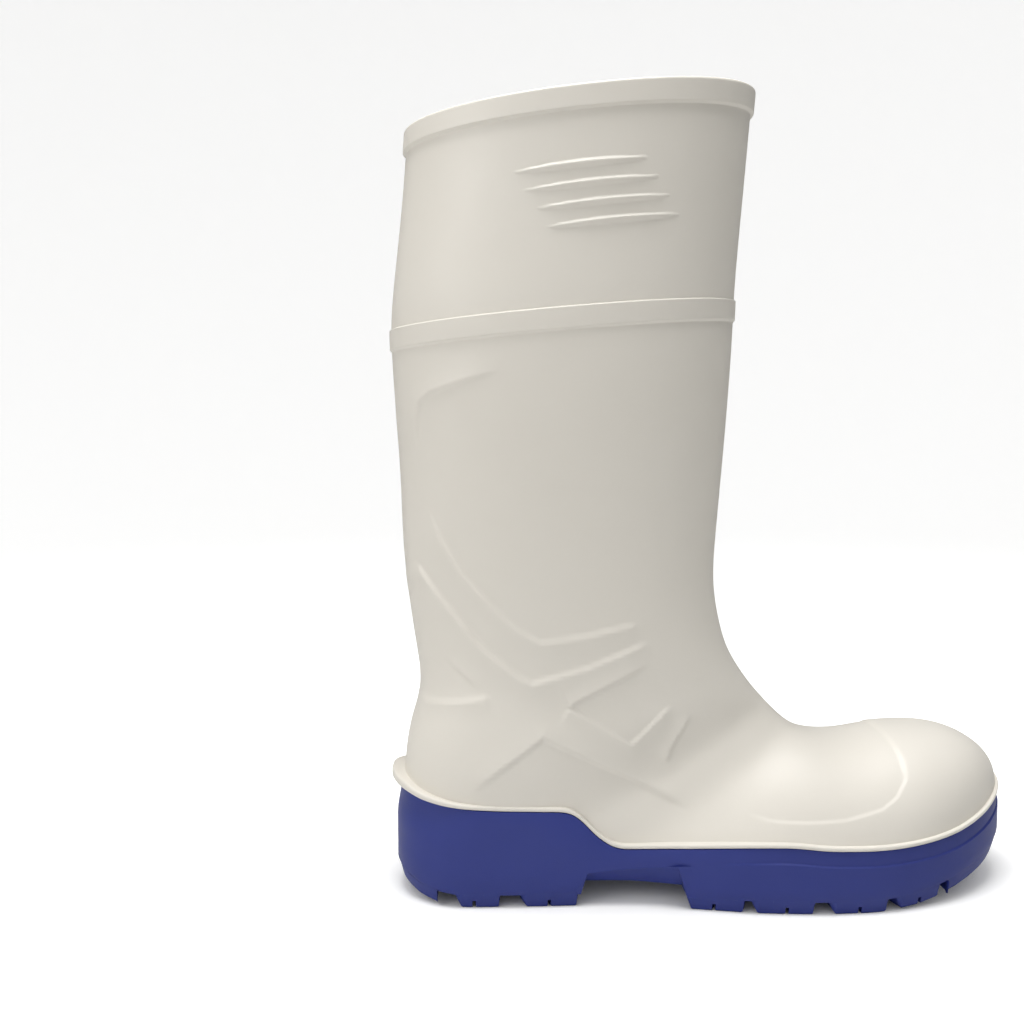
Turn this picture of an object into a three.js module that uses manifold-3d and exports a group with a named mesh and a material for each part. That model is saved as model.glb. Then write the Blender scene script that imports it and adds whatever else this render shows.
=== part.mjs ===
import * as THREE from 'three';
import { mergeVertices } from 'three/addons/utils/BufferGeometryUtils.js';
import Module from 'manifold-3d';

const wasm = await Module();
wasm.setup();

// Right boot, in mm: +X to the toe, +Y to the inner side of the foot, +Z up, floor at zero.

// Driving sizes of the foot and the shaft
const soleLength = 310;
const ballWidth = 109;
const shaftHeight = 388.5;
const shaftWidth = 103;
const instepHeight = 75;
const ankleHeight = 150;
const ankleWidth = 79;
const wall = 3;

// Raised forms of the upper's wall
const collarProud = 1.6;
const bandProud = 0.9;
const guardProud = 0.8;
const flangeThickness = 2;
const soleStep = 2.6;
const spurReach = 2.5;
const spurLift = 2.2;

// Sole
const heelWallHeight = 47;
const bedHeight = 25;
const toeSpring = 19.5;
const lugDepth = 6.5;
const treadBevel = 2.4;
const treadBevelHeight = 8;
const ledgeDrop = 7.5;
const ledgeDepth = 0.7;
const waistHeight = 10.5;
const waistInset = 6.5;
const waistRise = 6.5;
const breastLean = 3.2;
const sipeWidth = 1.7;
const sipeDepth = 3.6;
const sipeReach = 0.55;
const lugRearDraft = 3;
const lugDraft = 0.7;
const heelPadRadius = 14.2;
const heelPadGroove = 3;
const heelPadWell = 7.2;
const heelPadDome = 4.2;
const waistRibCount = 7;
const waistRibWidth = 1.8;
const waistRibHeight = 1.6;

// Insole and the clearance between curved pieces
const insoleThickness = 3;
const pieceGap = 0.3;

// How finely the forms are faceted
const outerPoints = 38;
const innerPoints = 26;
const outlineStations = 34;
const bowSteps = 10;
const outerToeRows = 7;
const innerToeRows = 5;

// Reach of cutting blocks past the boot
const beyond = 60;

const heelX = -soleLength / 2 + spurReach / 2;
const along = share => heelX + share * soleLength;
const across = share => share * ballWidth;

// A row's heights: to 1 counts floor to instep, to 2 instep to ankle, to 3 ankle to collar
function levelHeight(share) {
  if (share <= 1) return share * instepHeight;
  if (share <= 2) return THREE.MathUtils.lerp(instepHeight, ankleHeight, share - 1);
  return THREE.MathUtils.lerp(ankleHeight, shaftHeight, share - 2);
}

// Half widths: 'ankle' and 'shaft' share out the two named widths
const halfWidth = (ankle, shaft) => (ankle * ankleWidth + shaft * shaftWidth) / 2;

// Smooth curve through table rows, by the rows' own first column
function curveThrough(table, at) {
  const last = table.length - 1;
  const row = Math.min(Math.max(table.findIndex(([x]) => x > at) - 1, 0), last - 1);
  const start = at >= table[last][0] ? last - 1 : row;
  const [x0, y0] = table[start];
  const [x1, y1] = table[start + 1];
  const slope = i => {
    const before = table[Math.max(i - 1, 0)];
    const after = table[Math.min(i + 1, last)];
    return (after[1] - before[1]) / (after[0] - before[0]);
  };
  const span = x1 - x0;
  const t = Math.min(Math.max((at - x0) / span, 0), 1);
  const rise = (1 - t) * (1 - t) * (y0 * (1 + 2 * t) + slope(start) * span * t);
  return rise + t * t * (y1 * (3 - 2 * t) - slope(start + 1) * span * (1 - t));
}

// Plan of the sole between the round heel and the round toe: along, outer side, inner side
const planRows = [
  [0.135, -0.358, 0.339],
  [0.222, -0.362, 0.341],
  [0.302, -0.362, 0.332],
  [0.373, -0.372, 0.328],
  [0.457, -0.422, 0.367],
  [0.554, -0.477, 0.431],
  [0.631, -0.498, 0.472],
  [0.683, -0.500, 0.494],
  [0.780, -0.477, 0.501],
];
const heelEnd = { root: 0.135, tip: -0.014, bulge: 2.2 };
const toeEnds = {
  outer: { column: 1, root: 0.683, tip: 0.128, bulge: 2, round: 2 },
  inner: { column: 2, root: 0.780, tip: 0.128, bulge: 2.5, round: 2.2 },
};

// Half outline of the sole: a curve through the rows, closed by superellipses at heel and toe
function soleSide(x, name) {
  const { column, root, tip, bulge, round } = toeEnds[name];
  const share = (x - heelX) / soleLength;
  const rows = planRows.map(row => [row[0], row[column]]);
  const held = Math.min(Math.max(share, heelEnd.root), root);
  const width = curveThrough(rows, held);
  if (share > root) {
    const s = Math.min((share - root) / (1 - root), 1);
    return across(tip + (width - tip) * (1 - s ** bulge) ** (1 / round));
  }
  if (share < heelEnd.root) {
    const s = Math.min((heelEnd.root - share) / heelEnd.root, 1);
    const fall = (1 - s ** heelEnd.bulge) ** (1 / heelEnd.bulge);
    return across(heelEnd.tip + (width - heelEnd.tip) * fall);
  }
  return across(width);
}

// Top of the blue wall, as shares of the length and of the heel wall's height
const rimRows = [
  [-0.004, 1.17], [0.019, 1.128], [0.044, 1.081], [0.090, 1.034], [0.157, 1.004],
  [0.222, 0.991], [0.264, 0.974], [0.283, 0.911], [0.312, 0.723], [0.335, 0.623],
  [0.357, 0.596], [0.431, 0.623], [0.512, 0.660], [0.567, 0.679], [0.606, 0.679],
  [0.657, 0.651], [0.738, 0.640], [0.802, 0.660], [0.867, 0.713], [0.931, 0.819],
  [0.980, 0.936], [1.002, 0.989],
];
const rimHeight = x => heelWallHeight * curveThrough(rimRows, (x - heelX) / soleLength);

// Top of the insole, as a share of its height at the heel
const bedRows = [
  [-0.007, 1.08], [0.141, 1.02], [0.270, 1.00], [0.367, 0.91], [0.448, 0.82], [0.560, 0.73],
  [0.690, 0.68], [0.786, 0.74], [0.899, 0.98], [1.002, 1.30],
];
const cupFloor = x => bedHeight * curveThrough(bedRows, (x - heelX) / soleLength) - insoleThickness;

// Underside of the lugs, as a share of the toe spring: straight from row to row
const treadRows = [
  [-0.007, 0.51], [0.012, 0.33], [0.038, 0.16], [0.070, 0.05], [0.100, 0.00], [0.738, 0.00],
  [0.802, 0.10], [0.867, 0.31], [0.931, 0.59], [0.980, 0.85], [1.002, 1.00],
];
function treadHeight(x) {
  const share = (x - heelX) / soleLength;
  const found = treadRows.findIndex(([s]) => s > share);
  const end = found < 0 ? treadRows.length - 1 : Math.max(found, 1);
  const [s0, z0] = treadRows[end - 1];
  const [s1, z1] = treadRows[end];
  return toeSpring * THREE.MathUtils.mapLinear(Math.min(Math.max(share, s0), s1), s0, s1, z0, z1);
}

// Sections of the upper from the collar to the toe. Each lies in a plane through a front point
// and a back point. Columns: front along, front up, back along, back up, ankle and shaft shares
// of the half width (0, 0 where the sole's edge gives it), centre across, roundness, fullness low
const sectionRows = [
  [0.5644, 3.0000, 0.0266, 2.9203, 0, 1, 0.005, 2.10, 0.00],
  [0.5615, 2.9522, 0.0256, 2.8725, 0, 1.002, 0.005, 2.10, 0.00],
  [0.5547, 2.8470, 0.0173, 2.7778, 0, 1.004, 0.005, 2.10, 0.00],
  [0.5444, 2.6876, 0.0040, 2.6247, 0, 1.01, 0.005, 2.10, 0.00],
  [0.5389, 2.5828, -0.0018, 2.5241, 0, 1.015, 0.005, 2.10, 0.00],
  [0.5376, 2.5367, -0.0011, 2.4780, 0, 1.01, 0.005, 2.10, 0.00],
  [0.5311, 2.3899, 0.0050, 2.3417, 0.3, 0.732, 0, 2.10, 0.00],
  [0.5224, 2.2432, 0.0108, 2.2055, 0.62, 0.414, -0.005, 2.12, 0.00],
  [0.5134, 2.1006, 0.0147, 2.0755, 0.88, 0.148, -0.007, 2.15, 0.00],
  [0.5108, 2.0084, 0.0224, 1.9200, 1.02, 0, -0.009, 2.20, 0.00],
  [0.5198, 1.7667, 0.0334, 1.6000, 0.982, 0, -0.009, 2.28, 0.02],
  [0.5344, 1.5733, 0.0373, 1.3200, 0.962, 0, -0.009, 2.38, 0.06],
  [0.5515, 1.4467, 0.0231, 1.0933, 0.957, 0, -0.009, 2.46, 0.12],
  [0.5669, 1.3547, 0.0134, 0.8133, 0.96, 0, -0.009, 2.50, 0.17],
  [0.5815, 1.2800, 0.0153, 0.5067, 0, 0, -0.009, 2.50, 0.21],
  [0.5960, 1.2133, 0.0444, 0.2000, 0, 0, -0.009, 2.48, 0.23],
  [0.6121, 1.1440, 0.1476, 0.1267, 0, 0, -0.009, 2.44, 0.23],
  [0.6315, 1.0720, 0.2766, 0.0933, 0, 0, -0.007, 2.40, 0.22],
  [0.6524, 1.0173, 0.4089, 0.0600, 0, 0, -0.005, 2.36, 0.21],
  [0.6766, 0.9840, 0.5347, 0.0200, 0, 0, 0, 2.34, 0.20],
  [0.7089, 0.9627, 0.6444, -0.0133, 0, 0, 0.009, 2.32, 0.18],
  [0.7508, 0.9680, 0.7315, -0.0133, 0, 0, 0.018, 2.32, 0.16],
  [0.7927, 0.9893, 0.7927, 0.0000, 0, 0, 0.028, 2.32, 0.13],
  [0.8315, 0.9947, 0.8315, 0.0267, 0, 0, 0.037, 2.32, 0.10],
];
const collarRows = [0, 1];
const bandRows = [4, 5];
const footFrom = 9;
const toeTip = { along: 0.9882, topBulge: 2.3, topRound: 1.9, reach: 84, fullStep: 0.3 };

// Height share of a section at which it meets the top of the blue wall, by halving
function rimCrossing(section) {
  let low = -1;
  let high = 1;
  for (let step = 0; step < 24; step += 1) {
    const middle = (low + high) / 2;
    const { x, z } = spinePoint(section, middle);
    if (z < rimHeight(x)) low = middle;
    else high = middle;
  }
  return low;
}

function spinePoint({ front, back }, share) {
  return {
    x: THREE.MathUtils.lerp(back.x, front.x, (1 + share) / 2),
    z: THREE.MathUtils.lerp(back.z, front.z, (1 + share) / 2),
  };
}

// Half widths that bring the section to the sole's edge, less the step, where it meets the rim.
// The step narrows with the width towards the toe's tip
function fitToSole(section) {
  const share = rimCrossing(section);
  const { x } = spinePoint(section, share);
  const tip = along(toeTip.along);
  const straight = along(sectionRows.at(-1)[0]);
  const stretch = Math.max((x - straight) / (tip - straight), 0);
  const edge = Math.min(x + (along(1) - tip) * stretch, along(1));
  const full = (1 - Math.abs(share) ** section.round) ** (1 / section.round);
  const shape = full * (1 - section.low * share);
  const drawnIn = width => width - soleStep * Math.min(width / across(toeTip.fullStep), 1);
  section.outer = drawnIn(section.centre - soleSide(edge, 'outer')) / shape;
  section.inner = drawnIn(soleSide(edge, 'inner') - section.centre) / shape;
  return section;
}

function sectionFrom([frontX, frontZ, backX, backZ, ankle, shaft, centre, round, low]) {
  const section = {
    front: { x: along(frontX), z: levelHeight(frontZ) },
    back: { x: along(backX), z: levelHeight(backZ) },
    centre: across(centre),
    round,
    low,
  };
  if (ankle + shaft === 0) return fitToSole(section);
  section.outer = halfWidth(ankle, shaft);
  section.inner = halfWidth(ankle, shaft);
  return section;
}

// Toe sections: upright, closing to the tip along superellipses
function toeSections(rows) {
  const root = sectionFrom(sectionRows.at(-1));
  const tipX = along(toeTip.along);
  const tipZ = rimHeight(tipX) + soleStep / 2;
  return Array.from({ length: rows }, (_, i) => {
    const s = Math.sin(THREE.MathUtils.degToRad(toeTip.reach) * (i + 1) / rows);
    const x = THREE.MathUtils.lerp(root.front.x, tipX, s);
    const top = (1 - s ** toeTip.topBulge) ** (1 / toeTip.topRound);
    return fitToSole({
      front: { x, z: THREE.MathUtils.lerp(tipZ, root.front.z, top) },
      back: { x, z: THREE.MathUtils.lerp(tipZ, root.back.z, Math.sqrt(1 - s * s)) },
      centre: THREE.MathUtils.lerp(root.centre, across(toeEnds.outer.tip), s),
      round: root.round,
      low: root.low * (1 - s),
    });
  });
}

const givenSections = () => sectionRows.map(sectionFrom);

// Sections with one more between each two of the foot, curved through their neighbours
function closeSections() {
  const given = givenSections();
  const flat = given.map(s => [
    s.front.x, s.front.z, s.back.x, s.back.z, s.centre, s.round, s.low, s.outer, s.inner,
  ]);
  const sections = [];
  given.forEach((section, i) => {
    sections.push(section);
    if (i < footFrom || i === given.length - 1) return;
    const [a, b, c, d] = [i - 1, i, i + 1, Math.min(i + 2, given.length - 1)].map(k => flat[k]);
    const v = b.map((_, k) => (9 * (b[k] + c[k]) - a[k] - d[k]) / 16);
    sections.push({
      front: { x: v[0], z: v[1] },
      back: { x: v[2], z: v[3] },
      centre: v[4],
      round: v[5],
      low: v[6],
      outer: v[7],
      inner: v[8],
    });
  });
  return [...sections, ...toeSections(outerToeRows)];
}

// Ring of a section: a superellipse from the front point round by the outer side
function sectionRing(section, points) {
  const signedPower = (value, power) => Math.sign(value) * Math.abs(value) ** power;
  return Array.from({ length: points }, (_, i) => {
    const angle = -2 * Math.PI * i / points;
    const share = signedPower(Math.cos(angle), 2 / section.round);
    const side = signedPower(Math.sin(angle), 2 / section.round);
    const half = side < 0 ? section.outer : section.inner;
    const { x, z } = spinePoint(section, share);
    const y = section.centre + half * side * (1 - section.low * share);
    return new THREE.Vector3(x, y, z);
  });
}

// Moves each point of a grid of rings along the surface's normal
function offsetRings(rings, distance) {
  const count = rings[0].length;
  return rings.map((ring, r) => ring.map((point, i) => {
    const before = rings[Math.max(r - 1, 0)][i];
    const after = rings[Math.min(r + 1, rings.length - 1)][i];
    const around = ring[(i + 1) % count].clone().sub(ring[(i + count - 1) % count]);
    const normal = around.cross(after.clone().sub(before)).normalize();
    return point.clone().addScaledVector(normal, distance);
  }));
}

// Closed skin over rings of equal count, with each end closed by strips from side to side
function loft(rings) {
  const count = rings[0].length;
  const positions = rings.flat().flatMap(point => point.toArray());
  const faces = [];
  const quad = (a, b, c, d) => faces.push(a, b, c, a, c, d);
  for (let r = 0; r < rings.length - 1; r += 1) {
    for (let i = 0; i < count; i += 1) {
      const next = (i + 1) % count;
      quad(r * count + i, r * count + next, (r + 1) * count + next, (r + 1) * count + i);
    }
  }
  const last = (rings.length - 1) * count;
  for (let i = 0; i < count / 2; i += 1) {
    const mirror = (count - i) % count;
    quad(i, mirror, count - i - 1, i + 1);
    quad(last + i, last + i + 1, last + count - i - 1, last + mirror);
  }
  return solidFrom(positions, faces);
}

// Solid from corners and faces; faces that fold to a line are dropped, and an inside-out
// skin is turned
function solidFrom(positions, faces) {
  const geometry = new THREE.BufferGeometry();
  geometry.setAttribute('position', new THREE.Float32BufferAttribute(positions, 3));
  geometry.setIndex(faces);
  return solidOf(geometry);
}

function solidOf(source) {
  const bare = source.clone();
  bare.deleteAttribute('normal');
  bare.deleteAttribute('uv');
  const merged = mergeVertices(bare, 1e-4);
  const points = merged.attributes.position.array;
  const corner = i => new THREE.Vector3().fromArray(points, 3 * i);
  const faces = [];
  let volume = 0;
  for (let f = 0; f < merged.index.count; f += 3) {
    const [a, b, c] = merged.index.array.slice(f, f + 3);
    if (a === b || b === c || c === a) continue;
    faces.push([a, b, c]);
    volume += corner(a).dot(corner(b).cross(corner(c)));
  }
  const triVerts = new Uint32Array(faces.flatMap(([a, b, c]) => volume < 0 ? [a, c, b] : [a, b, c]));
  const vertProperties = new Float32Array(points);
  return new wasm.Manifold(new wasm.Mesh({ numProp: 3, vertProperties, triVerts }));
}

function geometryOf(solid) {
  const { vertProperties, triVerts } = solid.getMesh();
  const geometry = new THREE.BufferGeometry();
  geometry.setAttribute('position', new THREE.BufferAttribute(vertProperties, 3));
  geometry.setIndex(new THREE.BufferAttribute(triVerts, 1));
  geometry.computeVertexNormals();
  return geometry;
}

// Outline of the sole as a ring: heel tip, outer side, toe tip, inner side, moved out by 'grow'
function outlineRing(grow, height) {
  const stations = Array.from({ length: outlineStations + 1 }, (_, i) =>
    along((1 - Math.cos(Math.PI * i / outlineStations)) / 2));
  const outer = stations.map(x => new THREE.Vector2(x, soleSide(x, 'outer')));
  const inner = stations.slice(1, -1).map(x => new THREE.Vector2(x, soleSide(x, 'inner')));
  const plan = [...outer, ...inner.reverse()];
  return plan.map((point, i) => {
    const next = plan[(i + 1) % plan.length];
    const before = plan[(i + plan.length - 1) % plan.length];
    const tangent = next.clone().sub(before).normalize();
    const reach = grow(point.x);
    const x = point.x + tangent.y * reach;
    const y = point.y - tangent.x * reach;
    return new THREE.Vector3(x, y, height(x));
  });
}

// Block wider than the boot, between two heights that follow the length
function slab(low, high) {
  const stations = Array.from({ length: outlineStations + 1 }, (_, i) =>
    along(THREE.MathUtils.lerp(-0.1, 1.1, i / outlineStations)));
  return loft(stations.map(x => [
    new THREE.Vector3(x, -ballWidth, low(x)),
    new THREE.Vector3(x, ballWidth, low(x)),
    new THREE.Vector3(x, ballWidth, high(x)),
    new THREE.Vector3(x, -ballWidth, high(x)),
  ]));
}

// Plan outline in x and y, raised between two heights
function plate(corners, low, high) {
  const shape = new THREE.Shape(corners.map(([x, y]) => new THREE.Vector2(x, y)));
  const geometry = new THREE.ExtrudeGeometry(shape, { depth: high - low, bevelEnabled: false });
  geometry.translate(0, 0, low);
  return solidOf(geometry);
}

// Side outline in x and z, pushed through the whole width
function sideCut(corners) {
  const shape = new THREE.Shape();
  shape.moveTo(...corners[0]);
  corners.slice(1).forEach(corner => shape.lineTo(...corner));
  const geometry = new THREE.ExtrudeGeometry(shape, { depth: 2 * ballWidth, bevelEnabled: false });
  geometry.rotateX(Math.PI / 2);
  geometry.translate(0, ballWidth, 0);
  return solidOf(geometry);
}

const outerRings = closeSections().map(section => sectionRing(section, outerPoints));
const innerRings = [...givenSections(), ...toeSections(innerToeRows)]
  .map(section => sectionRing(section, innerPoints));

// Upper edge of the toe guard, seen from the side: along, up as a share of the instep's height
const guardEdge = [
  [0.535, 0.400], [0.573, 0.565], [0.686, 0.580], [0.744, 0.640],
  [0.773, 0.707], [0.793, 0.800], [0.796, 0.880], [0.790, 1.240],
];

// Tapered lip along the parting line that swells into the kick spur behind the heel
function flange() {
  const nearHeel = x => Math.max(1 - (x - heelX) / (0.12 * soleLength), 0) ** 2;
  const reach = x => spurReach * nearHeel(x);
  const foot = x => rimHeight(x) + pieceGap;
  const top = x => foot(x) + flangeThickness + spurLift * nearHeel(x);
  return loft([outlineRing(reach, foot), outlineRing(reach, top)]);
}

function toeGuard(skin) {
  const edge = guardEdge.map(([x, z]) => [along(x), levelHeight(z)]);
  const region = sideCut([
    ...edge,
    [along(1) + beyond, ankleHeight],
    [along(1) + beyond, -beyond],
    [edge[0][0], -beyond],
  ]);
  return skin.intersect(region).intersect(slab(x => rimHeight(x) + 2 * pieceGap, () => ankleHeight));
}

function upperSolid() {
  const collarSkin = offsetRings(outerRings, collarProud);
  const bandSkin = offsetRings(outerRings, bandProud);
  const hollow = offsetRings(innerRings, -wall);
  const mouth = hollow[0].map(point => point.clone().add(new THREE.Vector3(0, 0, wall + beyond)));
  return loft(outerRings)
    .add(loft(collarSkin.slice(collarRows[0], collarRows[1] + 1)))
    .add(loft(bandSkin.slice(bandRows[0], bandRows[1] + 1)))
    .add(toeGuard(loft(offsetRings(outerRings, guardProud))))
    .add(flange())
    .subtract(loft([mouth, ...hollow]))
    .subtract(slab(() => -beyond, x => cupFloor(x) + pieceGap));
}

// Lugs of the tread. Columns: rear, front, edge side and inner side (shares of the length and
// of the ball width), skew of the inner end towards the toe, place of the sipe between the ends
const lugRows = [
  [0.102, 0.160, -0.60, -0.153, 0.000, 0.35],
  [0.202, 0.281, -0.60, -0.105, -0.018, 0.46],
  [0.453, 0.529, -0.60, -0.214, 0.025, 0.44],
  [0.550, 0.633, -0.60, -0.270, 0.012, 0.53],
  [0.666, 0.746, -0.60, -0.265, 0.000, 0.48],
  [0.770, 0.835, -0.60, -0.190, -0.020, 0.49],
  [0.101, 0.170, 0.60, 0.190, 0.008, 0.50],
  [0.194, 0.281, 0.60, -0.035, 0.000, 0.42],
  [0.447, 0.508, 0.60, 0.135, 0.030, 0.50],
  [0.524, 0.595, 0.60, 0.275, 0.022, 0.50],
  [0.618, 0.690, 0.60, 0.215, 0.008, 0.50],
  [0.708, 0.788, 0.60, 0.290, 0.000, 0.55],
  [0.806, 0.880, 0.60, 0.240, -0.025, 0.50],
  [0.472, 0.505, -0.178, 0.030, 0.010, 0.50],
  [0.520, 0.584, -0.225, -0.010, 0.018, 0.45],
  [0.604, 0.668, -0.226, -0.035, 0.004, 0.50],
  [0.688, 0.746, -0.220, -0.020, -0.012, 0.45],
  [0.764, 0.803, -0.145, 0.035, -0.025, 0.50],
  [0.826, 0.850, -0.020, 0.120, -0.030, 0.50],
];

// One lug: a slanted block, drawn in towards the floor, with a sipe from its edge side inwards
function lug([rear, front, edge, inner, skew, sipe]) {
  const lean = skew * soleLength;
  const foot = -lugDepth;
  const top = lugDepth + toeSpring;
  const outward = Math.sign(edge - inner);
  const ring = z => {
    const back = along(rear) - lugRearDraft * z / lugDepth;
    const ahead = along(front) + lugDraft * z / lugDepth;
    const innerY = across(inner) - outward * lugDraft * z / lugDepth;
    return [
      new THREE.Vector3(back, across(edge), z),
      new THREE.Vector3(back + lean, innerY, z),
      new THREE.Vector3(ahead + lean, innerY, z),
      new THREE.Vector3(ahead, across(edge), z),
    ];
  };
  const sipeX = THREE.MathUtils.lerp(along(rear), along(front), sipe);
  const rim = soleSide(sipeX, outward < 0 ? 'outer' : 'inner');
  const start = outward * Math.min(outward * across(edge), outward * rim);
  const end = THREE.MathUtils.lerp(start, across(inner), sipeReach);
  const tilt = lean * (end - across(edge)) / (across(inner) - across(edge));
  const half = sipeWidth / 2;
  const slot = plate([
    [sipeX - half, across(edge)],
    [sipeX + half, across(edge)],
    [sipeX + half + tilt, end],
    [sipeX - half + tilt, end],
  ], 2 * foot, treadHeight(sipeX) + sipeDepth);
  return loft([ring(foot), ring(top)]).subtract(slot);
}

// Round pad under the heel: a disc with a well and a dome in it
const heelPad = { along: 0.136, across: 0.05 };
function disc(radius, low, high) {
  const geometry = new THREE.CylinderGeometry(radius, radius, high - low, 32);
  geometry.rotateX(Math.PI / 2);
  geometry.translate(along(heelPad.along), across(heelPad.across), (low + high) / 2);
  return solidOf(geometry);
}
function heelPadSolid() {
  const dome = new THREE.SphereGeometry(heelPadDome, 16, 10);
  dome.scale(1, 1, 0.6);
  dome.translate(along(heelPad.along), across(heelPad.across), sipeDepth);
  return disc(heelPadRadius, 0, lugDepth + 1)
    .subtract(disc(heelPadWell, -1, sipeDepth))
    .add(solidOf(dome));
}

// Plan curve bowed to the inner side: along from rear to front, side and bow across, fullness
const leafBow = { rear: 0.575, front: 0.754, side: 0.050, bow: 0.145, full: 1 };
const frameInside = { rear: 0.552, front: 0.780, side: 0.050, bow: 0.175, full: 1 };
const frameOutside = { rear: 0.520, front: 0.815, side: 0.060, bow: 0.190, full: 0.5 };
function bowCurve({ rear, front, side, bow, full }) {
  return Array.from({ length: bowSteps + 1 }, (_, i) => [
    along(THREE.MathUtils.lerp(rear, front, i / bowSteps)),
    across(side + bow * Math.sin(Math.PI * i / bowSteps) ** full),
  ]);
}

// Rear edge of the toe crescent: along and across, from the outer side to the inner side
const crescentEdge = [[0.851, -0.60], [0.851, -0.27], [0.834, -0.11], [0.888, 0.12], [0.915, 0.60]];
const heelCrescentFront = 0.066;

function lugSolids() {
  const high = lugDepth + toeSpring;
  const crescent = plate([
    ...crescentEdge.map(([x, y]) => [along(x), across(y)]),
    [along(1.1), across(0.6)],
    [along(1.1), across(-0.6)],
  ], -beyond, high);
  const heelCrescent = plate([
    [along(-0.1), across(-0.6)],
    [along(heelCrescentFront), across(-0.6)],
    [along(heelCrescentFront), across(0.6)],
    [along(-0.1), across(0.6)],
  ], -beyond, high).subtract(disc(heelPadRadius + heelPadGroove, -beyond, beyond));
  const leaf = plate(bowCurve(leafBow), -lugDepth, high);
  const frame = plate([...bowCurve(frameOutside), ...bowCurve(frameInside).reverse()], -lugDepth, high);
  return lugRows.map(lug)
    .reduce((all, one) => all.add(one))
    .subtract(disc(heelPadRadius + heelPadGroove, -beyond, beyond))
    .add(frame)
    .add(leaf)
    .add(heelPadSolid())
    .add(crescent)
    .add(heelCrescent);
}

// Arched waist between heel breast and forefoot, with sloped sides and ribs across it
const waist = { rear: 0.2795, front: 0.4528, low: 0.95, stations: 5 };
function waistCut() {
  const slope = waistRise / waistInset;
  const ring = share => {
    const x = along(THREE.MathUtils.lerp(waist.rear, waist.front, share));
    const height = waistHeight * THREE.MathUtils.lerp(1, waist.low, share);
    const outer = soleSide(x, 'outer') + waistInset;
    const inner = soleSide(x, 'inner') - waistInset;
    const lean = z => breastLean * (share < 1 ? 1 : -1) * z / waistHeight;
    const corner = (y, z) => new THREE.Vector3(x + lean(z), y, z);
    return [
      corner(-ballWidth, -lugDepth),
      corner(ballWidth, -lugDepth),
      corner(ballWidth, height + slope * (ballWidth - inner)),
      corner(inner, height),
      corner(outer, height),
      corner(-ballWidth, height + slope * (ballWidth + outer)),
    ];
  };
  return loft(Array.from({ length: waist.stations + 1 }, (_, i) => ring(i / waist.stations)));
}

function waistRibs() {
  return Array.from({ length: waistRibCount }, (_, i) => {
    const share = (i + 0.6) / waistRibCount;
    const x = THREE.MathUtils.lerp(along(waist.rear), along(waist.front), share);
    const height = waistHeight * THREE.MathUtils.lerp(1, waist.low, share);
    const reach = THREE.MathUtils.lerp(-0.03, -0.14, share);
    return plate([
      [x - waistRibWidth / 2, across(reach)],
      [x + waistRibWidth / 2, across(reach)],
      [x + waistRibWidth / 2, across(0.12)],
      [x - waistRibWidth / 2, across(0.12)],
    ], height - waistRibHeight, height + waistRibHeight);
  }).reduce((all, one) => all.add(one));
}

function soleBody() {
  const ledge = x => -ledgeDepth * THREE.MathUtils.smoothstep(x, along(0.29), along(0.33));
  const none = () => 0;
  return loft([
    outlineRing(() => -treadBevel, treadHeight),
    outlineRing(none, x => treadHeight(x) + treadBevelHeight),
    outlineRing(none, x => rimHeight(x) - ledgeDrop),
    outlineRing(ledge, x => rimHeight(x) - ledgeDrop + ledgeDepth),
    outlineRing(ledge, rimHeight),
  ]);
}

function outsoleSolid() {
  const recess = slab(() => -beyond, x => treadHeight(x) + lugDepth).subtract(lugSolids());
  const cavity = loft(offsetRings(outerRings, pieceGap)).intersect(slab(cupFloor, () => ankleHeight));
  return soleBody()
    .subtract(recess)
    .subtract(waistCut())
    .add(waistRibs())
    .subtract(cavity);
}

function insoleSolid() {
  const foot = loft(offsetRings(innerRings, -wall - pieceGap));
  const low = x => cupFloor(x) + pieceGap;
  return foot.intersect(slab(low, x => low(x) + insoleThickness));
}

const whiteMoulding = { color: '#e6e3da', roughness: 0.42, metalness: 0 };
const blueMoulding = { color: '#3a4796', roughness: 0.48, metalness: 0 };
const liningFoam = { color: '#cfcdc4', roughness: 0.9, metalness: 0 };

function part(name, solid, finish) {
  const mesh = new THREE.Mesh(geometryOf(solid), new THREE.MeshStandardMaterial(finish));
  mesh.name = name;
  return mesh;
}

const group = new THREE.Group();
group.add(
  part('upper', upperSolid(), whiteMoulding),
  part('outsole', outsoleSolid(), blueMoulding),
  part('insole', insoleSolid(), liningFoam),
);

export default group;
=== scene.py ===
# Food industry boot: white moulded upper with a blue cleated sole, one right boot, in metres
import math

import bpy
import bmesh
import numpy as np
from mathutils import Matrix, Vector


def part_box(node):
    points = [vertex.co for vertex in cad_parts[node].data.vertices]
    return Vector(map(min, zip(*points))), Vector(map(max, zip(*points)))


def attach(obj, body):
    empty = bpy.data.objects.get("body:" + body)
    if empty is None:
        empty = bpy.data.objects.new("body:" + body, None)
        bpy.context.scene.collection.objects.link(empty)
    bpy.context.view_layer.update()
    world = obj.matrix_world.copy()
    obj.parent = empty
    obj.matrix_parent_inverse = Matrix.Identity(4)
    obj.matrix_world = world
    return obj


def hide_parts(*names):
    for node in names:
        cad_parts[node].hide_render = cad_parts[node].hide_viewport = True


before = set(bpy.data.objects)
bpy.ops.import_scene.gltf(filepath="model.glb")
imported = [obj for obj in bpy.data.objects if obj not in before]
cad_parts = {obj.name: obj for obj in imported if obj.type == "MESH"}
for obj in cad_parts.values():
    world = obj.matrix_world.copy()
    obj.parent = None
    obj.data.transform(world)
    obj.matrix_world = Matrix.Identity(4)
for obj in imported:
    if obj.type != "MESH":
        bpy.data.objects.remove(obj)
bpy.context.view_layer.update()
mm = 0.001

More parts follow.
